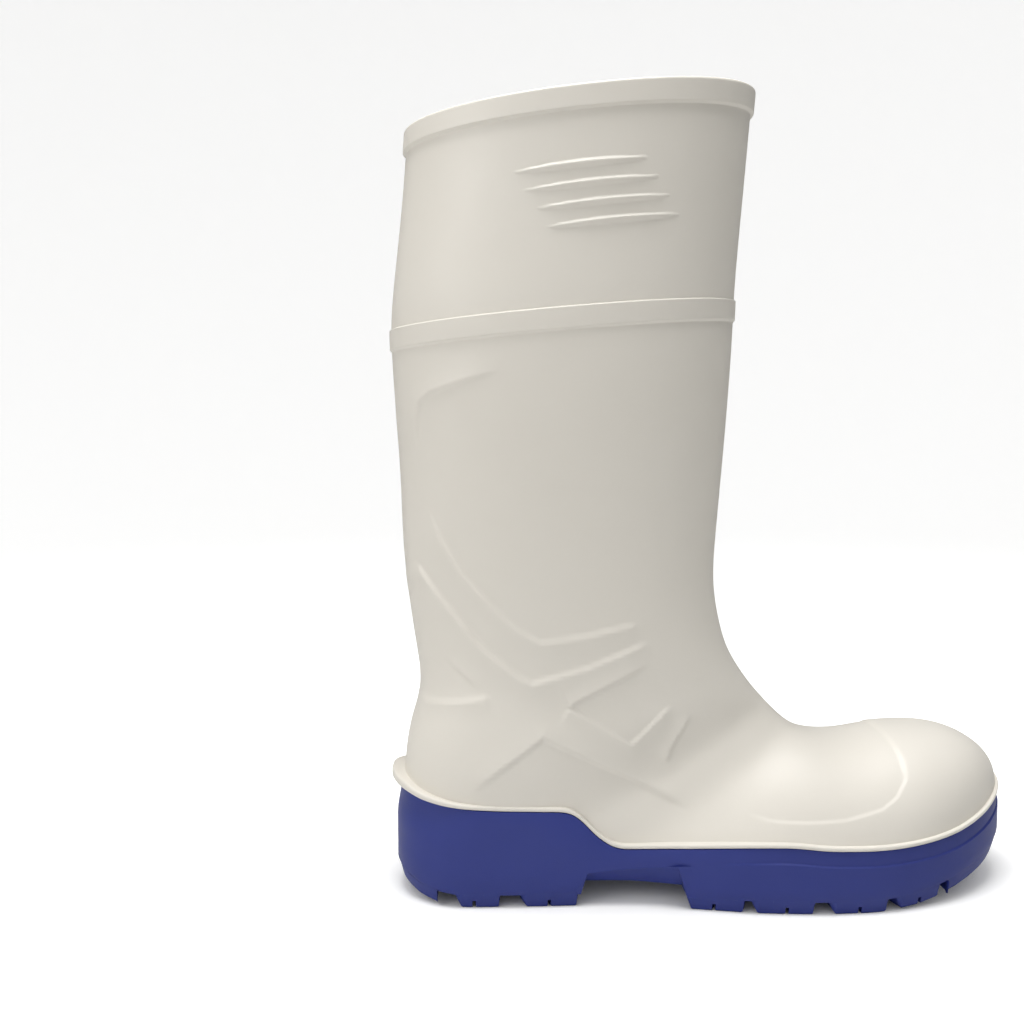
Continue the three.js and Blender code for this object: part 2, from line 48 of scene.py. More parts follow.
# Sizes of the boot in millimetres. The length and the width are those of the outsole in model.glb
soleLow, soleHigh = [np.array(corner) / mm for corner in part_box("outsole")]
boot = {
    "heelX": soleLow[0],
    "length": soleHigh[0] - soleLow[0],
    "ballWidth": soleHigh[1] - soleLow[1],
    "wall": 3.0,
    "soleStep": 2.6,
    "heelWall": 47.0,
    "bed": 25.0,
    "insole": 3.0,
    "toeSpring": 19.5,
    "gap": 0.3,
}


# A share of the sole's length as x, a share of the ball's width as y, and x as a share again
def along(share):
    return boot["heelX"] + share * boot["length"]


def across(share):
    return share * boot["ballWidth"]


def shareOf(x):
    return (x - boot["heelX"]) / boot["length"]


# Smooth rise from 0 at low to 1 at high: 3t^2 - 2t^3
def ramp(value, low, high):
    t = np.clip((value - low) / (high - low), 0, 1)
    return t * t * (3 - 2 * t)


# Smooth curve through table rows by their first column: a cubic on each span whose slopes
# are those of the chord between the neighbouring rows
def curveThrough(table, at, column=1):
    xs, ys = np.array(table)[:, 0], np.array(table)[:, column]
    at = np.clip(np.asarray(at, float), xs[0], xs[-1])
    k = np.clip(np.searchsorted(xs, at) - 1, 0, len(xs) - 2)
    before = np.maximum(np.arange(len(xs)) - 1, 0)
    after = np.minimum(np.arange(len(xs)) + 1, len(xs) - 1)
    slope = (ys[after] - ys[before]) / (xs[after] - xs[before])
    span = xs[k + 1] - xs[k]
    t = (at - xs[k]) / span
    start = (1 - t) ** 2 * (ys[k] * (1 + 2 * t) + slope[k] * span * t)
    return start + t ** 2 * (ys[k + 1] * (3 - 2 * t) - slope[k + 1] * span * (1 - t))


# Natural cubic spline through rows of values: the second derivatives solve one linear system,
# so the curvature is continuous and light runs evenly over the moulding
def splineThrough(knots, values, at):
    step = np.diff(knots)
    matrix = np.eye(len(knots))
    inner = np.arange(1, len(knots) - 1)
    matrix[inner, inner - 1] = step[:-1]
    matrix[inner, inner] = 2 * (step[:-1] + step[1:])
    matrix[inner, inner + 1] = step[1:]
    right = np.zeros_like(values)
    right[1:-1] = 6 * np.diff(np.diff(values, axis=0) / step[:, None], axis=0)
    bend = np.linalg.solve(matrix, right)
    k = np.clip(np.searchsorted(knots, at) - 1, 0, len(knots) - 2)
    a = ((knots[k + 1] - at) / step[k])[..., None]
    b = 1 - a
    h = step[k][..., None] ** 2 / 6
    return (a * values[k] + b * values[k + 1]
            + ((a ** 3 - a) * bend[k] + (b ** 3 - b) * bend[k + 1]) * h)


# Plan of the sole between the round heel and the round toe: along, outer side, inner side
planRows = [
    [0.135, -0.358, 0.339], [0.222, -0.362, 0.341], [0.302, -0.362, 0.332],
    [0.373, -0.372, 0.328], [0.457, -0.422, 0.367], [0.554, -0.477, 0.431],
    [0.631, -0.498, 0.472], [0.683, -0.500, 0.494], [0.780, -0.477, 0.501],
]
heelEnd = {"root": 0.135, "tip": -0.014, "bulge": 2.2}
toeEnds = {
    "outer": {"column": 1, "root": 0.683, "tip": 0.128, "bulge": 2.0, "round": 2.0},
    "inner": {"column": 2, "root": 0.780, "tip": 0.128, "bulge": 2.5, "round": 2.2},
}


# Half outline of the sole: a curve through the rows, closed by superellipses at heel and toe
def soleSide(x, name):
    end = toeEnds[name]
    share = shareOf(np.asarray(x, float))
    width = curveThrough(planRows, np.clip(share, heelEnd["root"], end["root"]), end["column"])
    s = np.clip((share - end["root"]) / (1 - end["root"]), 0, 1)
    toe = end["tip"] + (width - end["tip"]) * (1 - s ** end["bulge"]) ** (1 / end["round"])
    s = np.clip((heelEnd["root"] - share) / heelEnd["root"], 0, 1)
    fall = (1 - s ** heelEnd["bulge"]) ** (1 / heelEnd["bulge"])
    heel = heelEnd["tip"] + (width - heelEnd["tip"]) * fall
    return across(np.where(share > end["root"], toe, np.where(share < heelEnd["root"], heel, width)))


# Heights along the boot. Columns: share of the length, share of the heel wall's height for the
# rim, of the bed's for the cup's floor, and of the toe spring for the tread
rimRows = [
    [-0.004, 1.17], [0.019, 1.128], [0.044, 1.081], [0.090, 1.034], [0.157, 1.004],
    [0.222, 0.991], [0.264, 0.974], [0.283, 0.911], [0.312, 0.723], [0.335, 0.623],
    [0.357, 0.596], [0.431, 0.623], [0.512, 0.660], [0.567, 0.679], [0.606, 0.679],
    [0.657, 0.651], [0.738, 0.640], [0.802, 0.660], [0.867, 0.713], [0.931, 0.819],
    [0.980, 0.936], [1.002, 0.989],
]
bedRows = [
    [-0.007, 1.08], [0.141, 1.02], [0.270, 1.00], [0.367, 0.91], [0.448, 0.82],
    [0.560, 0.73], [0.690, 0.68], [0.786, 0.74], [0.899, 0.98], [1.002, 1.30],
]
treadRows = [
    [-0.007, 0.51], [0.012, 0.33], [0.038, 0.16], [0.070, 0.05], [0.100, 0.00], [0.738, 0.00],
    [0.802, 0.10], [0.867, 0.31], [0.931, 0.59], [0.980, 0.85], [1.002, 1.00],
]


# Rim of the sole, floor of its cup and foot of its lugs: the tables' curves times their heights
def rimHeight(x):
    return boot["heelWall"] * curveThrough(rimRows, shareOf(x))


def cupFloor(x):
    return boot["bed"] * curveThrough(bedRows, shareOf(x)) - boot["insole"]


def treadHeight(x):
    rows = np.array(treadRows)
    return boot["toeSpring"] * np.interp(shareOf(x), rows[:, 0], rows[:, 1])


# Upper: sections from the collar to the toe, each in a plane through a front and a back point.
# Columns in mm: front x, front z, back x, back z, half width outer and inner (0 where the sole's
# edge gives it), centre y, roundness, fullness low
upper = {
    "collar": {"height": 11.3, "proud": 1.6, "round": 1.5, "foot": 1.1},
    "band": {"top": 97.3, "bottom": 108.2, "proud": 0.95, "crisp": 0.55, "soft": 1.5},
    "lip": 18.0,
    "toe": {"from": 0.8315, "tip": 0.9945, "bulge": 2.3, "round": 1.9, "fullStep": 0.3},
    "columns": 400,
    "ankleRow": 8,
    "shaftStep": 0.62,
    "legStep": 0.82,
    "footStep": 1.4,
}
sectionRows = [
    [21.2, 388.5, -145.5, 369.5, 51.5, 51.5, 0.5, 2.10, 0.00],
    [18.2, 352.0, -148.4, 335.5, 51.7, 51.7, 0.5, 2.10, 0.00],
    [15.0, 314.0, -152.5, 299.0, 52.0, 52.0, 0.5, 2.10, 0.00],
    [13.3, 289.0, -154.3, 275.0, 52.3, 52.3, 0.5, 2.10, 0.00],
    [12.9, 278.0, -154.1, 264.0, 52.0, 52.0, 0.5, 2.10, 0.00],
    [10.9, 243.0, -152.2, 231.5, 49.5, 49.5, 0.0, 2.10, 0.00],
    [8.2, 208.0, -150.4, 199.0, 45.8, 45.8, -0.5, 2.12, 0.00],
    [5.4, 174.0, -149.2, 168.0, 42.4, 42.4, -0.8, 2.15, 0.00],
    [4.6, 152.0, -146.8, 144.0, 40.3, 40.3, -1.0, 2.20, 0.00],
    [7.4, 132.5, -143.4, 120.0, 38.8, 38.8, -1.0, 2.28, 0.02],
    [11.9, 118.0, -142.2, 99.0, 38.0, 38.0, -1.0, 2.38, 0.06],
    [17.2, 108.5, -146.6, 82.0, 37.8, 37.8, -1.0, 2.46, 0.12],
    [22.0, 101.6, -149.6, 61.0, 37.9, 37.9, -1.0, 2.50, 0.17],
    [26.5, 96.0, -149.0, 38.0, 0, 0, -1.0, 2.50, 0.21],
    [31.0, 91.0, -140.0, 15.0, 0, 0, -1.0, 2.48, 0.23],
    [36.0, 85.8, -108.0, 9.5, 0, 0, -1.0, 2.44, 0.23],
    [42.0, 80.4, -68.0, 7.0, 0, 0, -0.8, 2.40, 0.22],
    [48.5, 76.3, -27.0, 4.5, 0, 0, -0.5, 2.36, 0.21],
    [56.0, 73.8, 12.0, 1.5, 0, 0, 0.0, 2.34, 0.20],
    [66.0, 72.2, 46.0, -1.0, 0, 0, 1.0, 2.32, 0.18],
    [79.0, 72.6, 73.0, -1.0, 0, 0, 2.0, 2.32, 0.16],
    [92.0, 74.2, 92.0, 0.0, 0, 0, 3.0, 2.32, 0.13],
    [104.0, 74.6, 104.0, 2.0, 0, 0, 4.0, 2.32, 0.10],
]


# Toe sections: upright planes that close to the tip along superellipses
def toeRows(angles):
    root = sectionRows[-1]
    tipX = along(upper["toe"]["tip"])
    tipZ = rimHeight(tipX) + boot["soleStep"] / 2
    rows = []
    for s in np.sin(angles):
        x = root[0] + (tipX - root[0]) * s
        top = (1 - s ** upper["toe"]["bulge"]) ** (1 / upper["toe"]["round"])
        front = tipZ + (root[1] - tipZ) * top
        back = tipZ + (root[3] - tipZ) * math.sqrt(1 - s * s)
        centre = root[6] + (across(toeEnds["outer"]["tip"]) - root[6]) * s
        rows.append([x, front, x, back, 0, 0, centre, root[7], root[8] * (1 - s)])
    return rows


# Half widths that bring a section to the sole's edge, less the step, where it meets the rim
def fitToSole(row):
    frontX, frontZ, backX, backZ, outer, inner, centre, rounding, low = row
    if outer:
        return row
    shares = np.linspace(-1, 1, 4001)
    xs = backX + (frontX - backX) * (1 + shares) / 2
    zs = backZ + (frontZ - backZ) * (1 + shares) / 2
    share = shares[np.argmax(zs > rimHeight(xs))]
    x = backX + (frontX - backX) * (1 + share) / 2
    straight, tip = along(upper["toe"]["from"]), along(upper["toe"]["tip"])
    edge = min(x + (along(1) - tip) * max((x - straight) / (tip - straight), 0), along(1))
    shape = (1 - abs(share) ** rounding) ** (1 / rounding) * (1 - low * share)
    halves = []
    for side, sign in (("outer", -1), ("inner", 1)):
        width = sign * (soleSide(edge, side) - centre)
        drawn = width - boot["soleStep"] * min(width / across(upper["toe"]["fullStep"]), 1)
        halves.append(float(drawn / shape))
    return [frontX, frontZ, backX, backZ, *halves, centre, rounding, low]


fitted = [fitToSole(row) for row in sectionRows + toeRows(np.radians(np.linspace(9, 86, 12)))]
tipRow = list(fitted[-1])
tipRow[0] = tipRow[2] = along(upper["toe"]["tip"])
tipRow[1] = tipRow[3] = rimHeight(tipRow[0]) + boot["soleStep"] / 2
tipRow[4] = tipRow[5] = 0.0
sectionTable = np.array(fitted + [tipRow])
moves = np.diff(sectionTable, axis=0)
sectionKnots = np.r_[0, np.cumsum(
    (np.hypot(moves[:, 0], moves[:, 1]) + np.hypot(moves[:, 2], moves[:, 3])) / 2)]


# Skin of the upper at (u, angle): u runs in mm down the wall from the collar to the toe, and the
# angle goes round a superellipse in the plane of the section, by its polar form
def skin(u, angle):
    row = splineThrough(sectionKnots, sectionTable, u)
    frontX, frontZ, backX, backZ, outer, inner, centre, rounding, low = np.moveaxis(row, -1, 0)
    c, s = np.cos(angle), np.sin(angle)
    radius = (np.abs(c) ** rounding + np.abs(s) ** rounding) ** (-1 / rounding)
    share, side = c * radius, s * radius
    half = np.where(side < 0, outer, inner) * (1 - low * share)
    return np.stack([
        backX + (frontX - backX) * (1 + share) / 2,
        centre + half * side,
        backZ + (frontZ - backZ) * (1 + share) / 2,
    ], -1)


# Outward normals of the skin, from small steps along both parameters
def skinNormal(u, angle):
    last = sectionKnots[-1]
    down = skin(np.minimum(u + 0.4, last), angle) - skin(np.maximum(u - 0.4, 0), angle)
    around = skin(u, angle + 0.004) - skin(u, angle - 0.004)
    normal = np.cross(down, around)
    return normal / np.maximum(np.linalg.norm(normal, axis=-1, keepdims=True), 1e-9)


# Moulded lines in the side view (x, z in mm), on both sides of the boot. Each is a step in the
# wall: 'proud' 1 stands out above the line and -1 below it, and the step dies out over 'fade'
# away from the line and over 'ends' at its two ends
reliefLines = {
    "counterUpper": {"proud": -1, "high": 1.25, "crisp": 1.8, "fade": 17, "ends": (22, 12), "points": [
        (-137, 192), (-130, 176), (-120, 159), (-108, 146), (-95, 134), (-84, 128), (-62, 131),
        (-35, 137)]},
    "counterLower": {"proud": -1, "high": 1.6, "crisp": 2.1, "fade": 17, "ends": (8, 12), "points": [
        (-143, 165), (-129, 146), (-111, 125), (-95, 112), (-88, 108.5), (-62, 116), (-31, 128)]},
    "instepUpper": {"proud": 1, "high": 1.30, "crisp": 2.2, "fade": 12, "ends": (14, 1), "points": [
        (-31, 117), (-50, 107.5), (-71, 97)]},
    "instepLower": {"proud": -1, "high": 1.38, "crisp": 1.4, "fade": 13, "ends": (1, 8), "points": [
        (-71, 97), (-41, 78), (-21, 97)]},
    "instepTick": {"proud": 1, "high": 1.16, "crisp": 1.8, "fade": 8, "ends": (7, 5), "points": [
        (-11, 91), (-21, 74), (-23, 66)]},
    "heelLine": {"proud": -1, "high": 1.30, "crisp": 1.4, "fade": 13, "ends": (6, 4), "points": [
        (-144, 97), (-128, 98), (-107, 101.5)]},
    "heelFold": {"proud": 1, "high": 0.87, "crisp": 3.0, "fade": 9, "ends": (12, 6), "points": [
        (-131, 121), (-112, 104.5)]},
    "wedge": {"proud": 1, "high": 1.45, "crisp": 2.6, "fade": 15, "ends": (14, 16), "points": [
        (-118, 55), (-83, 82), (-48, 64.5), (-11, 45)]},
    "calfPanel": {"proud": 1, "high": 1.30, "crisp": 2.4, "fade": 16, "ends": (20, 22), "points": [
        (-100, 254), (-118, 249), (-134, 244), (-139, 240), (-141, 232), (-141.5, 212)]},
}
toeCap = {"proud": 0.6, "crisp": 2.0, "end": 16, "points": [
    (90.5, 84), (91, 74), (92.5, 66), (91.5, 59), (85, 52), (77, 47.5), (59, 43.5), (40, 42.5),
    (24, 43), (12, 46)]}
# Plain tapered grip ribs under the collar: rows of (rear x, rear z, front x, front z, rise)
gripRibs = {"high": 1.35, "above": 0.9, "below": 3.0, "rows": [
    (-96, 340.5, -36, 347.5, 0.8), (-91, 332.5, -31, 339.5, 0.8), (-86, 324.5, -26, 331.5, 0.8),
    (-81, 316.5, -21, 323.5, 0.8),
]}


# Signed distance from points to an open line of corners, and how far along it they lie
def lineDistance(px, pz, corners):
    corners = np.array(corners, float)
    starts, ends = corners[:-1], corners[1:]
    lengths = np.linalg.norm(ends - starts, axis=1)
    before = np.r_[0, np.cumsum(lengths)]
    best = np.full(px.shape, 1e9)
    signed = np.zeros(px.shape)
    place = np.zeros(px.shape)
    for k, (start, end) in enumerate(zip(starts, ends)):
        ux, uz = (end - start) / lengths[k]
        t = np.clip((px - start[0]) * ux + (pz - start[1]) * uz, 0, lengths[k])
        dx, dz = px - start[0] - t * ux, pz - start[1] - t * uz
        distance = np.hypot(dx, dz)
        nearer = distance < best - 1e-9
        best = np.where(nearer, distance, best)
        signed = np.where(nearer, np.sign(ux * dz - uz * dx) * distance, signed)
        place = np.where(nearer, before[k] + t, place)
    return signed, place, before[-1]


# Height of the moulded relief over the skin at points of the skin
def relief(points):
    x, z = points[..., 0], points[..., 2]
    lift = np.zeros(x.shape)
    for line in reliefLines.values():
        corners = np.array(line["points"], float)
        low, high = corners.min(0) - 22, corners.max(0) + 22
        near = (x > low[0]) & (x < high[0]) & (z > low[1]) & (z < high[1])
        signed, place, length = lineDistance(x[near], z[near], corners)
        rightwards = np.sign(corners[-1, 0] - corners[0, 0])
        t = signed * rightwards * line["proud"]
        rise = ramp(t, -line["crisp"] / 2, line["crisp"] / 2)
        fall = (1 - np.clip(t / line["fade"], 0, 1)) ** 2
        taper = ramp(place, 0, line["ends"][0]) * ramp(length - place, 0, line["ends"][1])
        lift[near] += line["high"] * rise * fall * taper
    signed, place, length = lineDistance(x, z, toeCap["points"])
    front = ramp(signed, -toeCap["crisp"] / 2, toeCap["crisp"] / 2)
    lift += toeCap["proud"] * front * ramp(length - place, 0, toeCap["end"])
    for rearX, rearZ, frontX, frontZ, rise in gripRibs["rows"]:
        t = np.clip((x - rearX) / (frontX - rearX), 0, 1)
        middle = rearZ + (frontZ - rearZ) * t + rise * 4 * t * (1 - t)
        full = np.sqrt(np.sin(np.pi * t))
        half = np.where(z > middle, gripRibs["above"], gripRibs["below"]) * full + 1e-3
        away = np.clip(np.abs(z - middle) / half, 0, 1)
        lift += gripRibs["high"] * full * (1 - away ** 2) ** 1.5
    return lift


# Height over the skin of the collar band and the middle band, by the distance down the wall
def bands(u):
    collar, band = upper["collar"], upper["band"]
    top = collar["proud"] - collar["round"] + np.sqrt(
        np.clip(collar["round"] ** 2 - np.clip(collar["round"] - u, 0, None) ** 2, 0, None))
    foot = 1 - ramp(u, collar["height"] - collar["foot"], collar["height"] + 0.3)
    middle = ramp(u, band["top"], band["top"] + band["crisp"]) * (
        1 - ramp(u, band["bottom"] - band["soft"], band["bottom"]))
    return top * foot * (u < collar["height"] + 1) + band["proud"] * middle


# Mesh object from vertices in mm and faces, with its place in its mesh
def meshObject(name, vertices, faces):
    mesh = bpy.data.meshes.new(name)
    mesh.from_pydata((np.asarray(vertices).reshape(-1, 3) * mm).tolist(), [], faces)
    mesh.update()
    piece = bpy.data.objects.new(name, mesh)
    bpy.context.scene.collection.objects.link(piece)
    return piece


# Quads of a grid of rows and columns; a closed grid joins the last column to the first
def gridFaces(rows, columns, closed=True, start=0):
    wide = columns if closed else columns - 1
    r, c = np.meshgrid(np.arange(rows - 1), np.arange(wide), indexing="ij")
    n = (c + 1) % columns
    corners = [r * columns + c, (r + 1) * columns + c, (r + 1) * columns + n, r * columns + n]
    return (np.stack(corners, -1).reshape(-1, 4) + start).tolist()


# Unit normals of a closed grid of points, by the cross product of its two directions
def gridNormals(points):
    down = np.gradient(points, axis=0)
    around = np.roll(points, -1, 1) - np.roll(points, 1, 1)
    normal = np.cross(down, around)
    return normal / np.maximum(np.linalg.norm(normal, axis=-1, keepdims=True), 1e-9)


# Smooth shading by the grid's own normals, or with sharp edges past an angle
def shadeByNormals(piece, normals):
    piece.data.shade_smooth()
    piece.data.normals_split_custom_set_from_vertices(normals.reshape(-1, 3).tolist())


def shadeBySharpness(piece, degrees):
    piece.data.shade_smooth()
    piece.data.set_sharp_from_angle(angle=math.radians(degrees))


# Angles round a section, evenly spaced
angles = np.linspace(0, 2 * np.pi, upper["columns"], endpoint=False)


# Points of the wall at distances u down it, moved out of the skin by 'out'
def wallPoints(u, out, withRelief=True):
    u, angle = np.meshgrid(u, angles, indexing="ij")
    base = skin(u, angle)
    lift = out[:, None] + (relief(base) if withRelief else 0)
    points = base + skinNormal(u, angle) * np.asarray(lift)[..., None]
    points[..., 2] = np.maximum(points[..., 2], cupFloor(points[..., 0]) + 0.1)
    return points


# Collar rows: up the inner wall, over the round rim, and down the outer wall to the band's edge
def shaftPiece():
    collar, band = upper["collar"], upper["band"]
    turn = np.radians(np.linspace(0, 90, 7))
    inner = -boot["wall"]
    upU = np.r_[np.linspace(upper["lip"], 2.2, 12), collar["round"] * (1 - np.sin(turn))]
    upOut = np.r_[np.full(12, inner), inner + collar["round"] * (1 - np.cos(turn))]
    flat = np.linspace(inner + collar["round"], collar["proud"] - collar["round"], 4)[1:-1]
    turned = collar["round"] * (1 - np.cos(turn))
    fineFoot = np.linspace(collar["height"] - 1.6, collar["height"] + 0.9, 11)
    belowU = np.r_[np.linspace(collar["round"] + 0.6, collar["height"] - 2.1, 9), fineFoot,
                   np.arange(collar["height"] + 1.9, band["top"] - 0.5, upper["shaftStep"]),
                   band["top"]]
    u = np.r_[upU, np.zeros(2), turned, belowU]
    out = np.r_[upOut, flat, collar["proud"] - collar["round"] + collar["round"] * np.sin(turn),
                bands(belowU)]
    points = wallPoints(u, out)
    piece = meshObject("upper_shaft", points, gridFaces(len(u), len(angles)))
    shadeByNormals(piece, gridNormals(points))
    return piece


# Distances down the wall from the middle band to the toe: close where the band's edges turn
def footRows():
    band = upper["band"]
    fine = band["top"] + np.array([0, 0.12, 0.26, 0.4, 0.55, 0.8, 1.3])
    flat = np.arange(band["top"] + 2.2, band["bottom"] - 2.2, upper["legStep"])
    edge = np.linspace(band["bottom"] - 1.7, band["bottom"] + 0.3, 8)
    leg = np.arange(band["bottom"] + 1.2, sectionKnots[upper["ankleRow"]], upper["legStep"])
    foot = np.arange(leg[-1] + upper["footStep"], sectionKnots[-1] - 0.8, upper["footStep"])
    tip = sectionKnots[-1] - np.array([0.5, 0.2, 0.05])
    return np.r_[fine, flat, edge, leg, foot, tip]


# Leg and foot share the row at the ankle and its normals, so no seam shows between them
def legAndFootPieces():
    u = footRows()
    points = wallPoints(u, bands(u))
    normals = gridNormals(points)
    split = int(np.searchsorted(u, sectionKnots[upper["ankleRow"]]))
    leg = meshObject("upper_leg", points[:split + 1], gridFaces(split + 1, len(angles)))
    shadeByNormals(leg, normals[:split + 1])
    rows = points[split:]
    last = (len(rows) - 1) * len(angles)
    tipFace = [last + i for i in range(len(angles))]
    foot = meshObject("upper_foot", rows, gridFaces(len(rows), len(angles)) + [tipFace])
    shadeByNormals(foot, normals[split:])
    return leg, foot


# Inner skin of the boot: the skin drawn in by the wall, with its faces turned inwards
lining = {"rows": 90, "columns": 140, "clear": 0.15, "overlap": 2, "toeStop": 9, "sink": 0.6}


def liningPiece():
    u = np.linspace(upper["lip"] - lining["overlap"], sectionKnots[-1] - lining["toeStop"],
                    lining["rows"])
    u, angle = np.meshgrid(u, np.linspace(0, 2 * np.pi, lining["columns"], endpoint=False),
                           indexing="ij")
    points = skin(u, angle) - skinNormal(u, angle) * (boot["wall"] + lining["clear"])
    floor = cupFloor(points[..., 0]) + boot["gap"] + boot["insole"] - lining["sink"]
    points[..., 2] = np.maximum(points[..., 2], floor)
    faces = [face[::-1] for face in gridFaces(lining["rows"], lining["columns"])]
    last = (lining["rows"] - 1) * lining["columns"]
    faces.append([last + i for i in range(lining["columns"])][::-1])
    piece = meshObject("upper_lining", points, faces)
    piece.data.shade_smooth()
    return piece


# Stations round the sole's outline: heel tip, outer side, toe tip, inner side, spaced as the
# cosine of an angle so that they crowd at the round ends
def outlineStations(count):
    return along((1 - np.cos(np.linspace(0, np.pi, count))) / 2)


# Closed outline moved out by 'reach' along its own normal in plan
def movedOutline(plan, reach):
    tangent = np.roll(plan, -1, 0) - np.roll(plan, 1, 0)
    tangent /= np.linalg.norm(tangent, axis=1, keepdims=True)
    return plan + np.stack([tangent[:, 1], -tangent[:, 0]], 1) * np.asarray(reach)[:, None]


# Plan of the sole as one closed line: the outer side to the toe and the inner side back
def closedOutline(count):
    xs = outlineStations(count)
    outer = np.stack([xs, soleSide(xs, "outer")], 1)
    inner = np.stack([xs, soleSide(xs, "inner")], 1)[1:-1][::-1]
    return np.concatenate([outer, inner])


# White bead on the parting line: a small rounded profile carried round the outline, growing
# into the upturned kick spur behind the heel
flange = {"thick": 2.0, "spurReach": 2.5, "spurLift": 2.4, "spurLength": 0.12, "stations": 300,
          "profile": [(7.0, 0.02), (0.5, 0.02), (0.12, 0.14), (0.0, 0.42), (0.05, 0.74),
                      (0.34, 0.95), (0.85, 1.02), (2.2, 1.06), (7.0, 1.2)]}


def flangePiece():
    plan = closedOutline(flange["stations"])
    near = np.clip(1 - (plan[:, 0] - boot["heelX"]) / (flange["spurLength"] * boot["length"]), 0, 1) ** 2
    rings = []
    for inset, up in flange["profile"]:
        moved = movedOutline(plan, flange["spurReach"] * near - inset)
        lift = (flange["thick"] + flange["spurLift"] * near) * up
        height = rimHeight(moved[:, 0]) + boot["gap"] + lift
        rings.append(np.column_stack([moved, height]))
    points = np.stack(rings)
    piece = meshObject("upper_flange", points, gridFaces(len(rings), len(plan)))
    shadeBySharpness(piece, 75)
    return piece


# Sole body: the wall under the rim and the underside between the lugs, on stations along the
# boot with doubled ones at the steps of the arched waist
sole = {
    "lug": 6.5, "bevel": 2.4, "bevelHeight": 8.0, "ledgeDrop": 7.5, "ledgeDepth": 0.7,
    "waistHeight": 10.5, "waistInset": 6.5, "waistEdge": 0.5, "lean": 3.2, "leanReach": 12.0,
    "waistLow": 0.95, "stations": 230, "underRows": 50, "edge": 0.7, "rearDraft": 3.0, "draft": 0.7,
    "sipeWidth": 1.7, "sipeDepth": 3.6, "sipeReach": 0.55,
    "hollow": 2.2, "hollowTop": 1.5, "hollowHigh": 19.0, "hollowLong": 0.16,
    "ledgeBlend": 0.2, "ledgeFrom": 0.45, "ledgeTo": 0.62, "arcStations": 60,
}
waist = {"rear": 0.2795, "front": 0.4528}
# Lower edge of the side's upper step, up from the waist's rear corner. Columns: share of the
# length, height over the floor
ledgeRows = [(0.2795, 17.0), (0.36, 19.3), (0.4528, 22.2), (0.52, 24.9), (0.58, 28.2), (0.60, 30.0)]


# Height of the step: a set drop under the rim, or the table's height where that is lower
def ledgeLine(x):
    places, heights = zip(*ledgeRows)
    share, dropped = shareOf(x), rimHeight(x) - sole["ledgeDrop"]
    risen = np.interp(share, places, heights, right=heights[-1] * 9)
    lowered = np.minimum(risen, dropped) - dropped
    return dropped + lowered * ramp(share, sole["ledgeBlend"], places[0])


# Underside of the arched waist: flat across its middle, and rising to the step's height over
# the inset at each side
def waistTop(x, y):
    share = (shareOf(x) - waist["rear"]) / (waist["front"] - waist["rear"])
    height = sole["waistHeight"] * (1 + (sole["waistLow"] - 1) * np.clip(share, 0, 1))
    outer = soleSide(x, "outer") + sole["waistInset"]
    inner = soleSide(x, "inner") - sole["waistInset"]
    past = np.maximum(np.maximum(outer - y, y - inner), 0)
    return height + past * (ledgeLine(x) - sole["waistEdge"] - height) / sole["waistInset"]


# Inset of the wall at a height over the tread: the slope of the lugs' feet, then upright
def wallInset(over):
    return sole["bevel"] * np.clip(1 - over / sole["bevelHeight"], 0, 1)


# Merges doubled corners, drops faces without area and turns the rest to face outwards
def cleanMesh(piece):
    work = bmesh.new()
    work.from_mesh(piece.data)
    bmesh.ops.remove_doubles(work, verts=work.verts, dist=3e-6)
    bmesh.ops.dissolve_degenerate(work, edges=work.edges, dist=1e-6)
    bmesh.ops.recalc_face_normals(work, faces=work.faces)
    work.to_mesh(piece.data)
    work.free()


# The breast and the front of the waist lean: their points move along by height over the floor
def leanShift(x, height):
    rear, front = along(waist["rear"]), along(waist["front"])
    near = (np.clip(1 - abs(x - rear) / sole["leanReach"], 0, 1)
            - np.clip(1 - abs(front - x) / sole["leanReach"], 0, 1))
    return sole["lean"] * height / sole["waistHeight"] * near


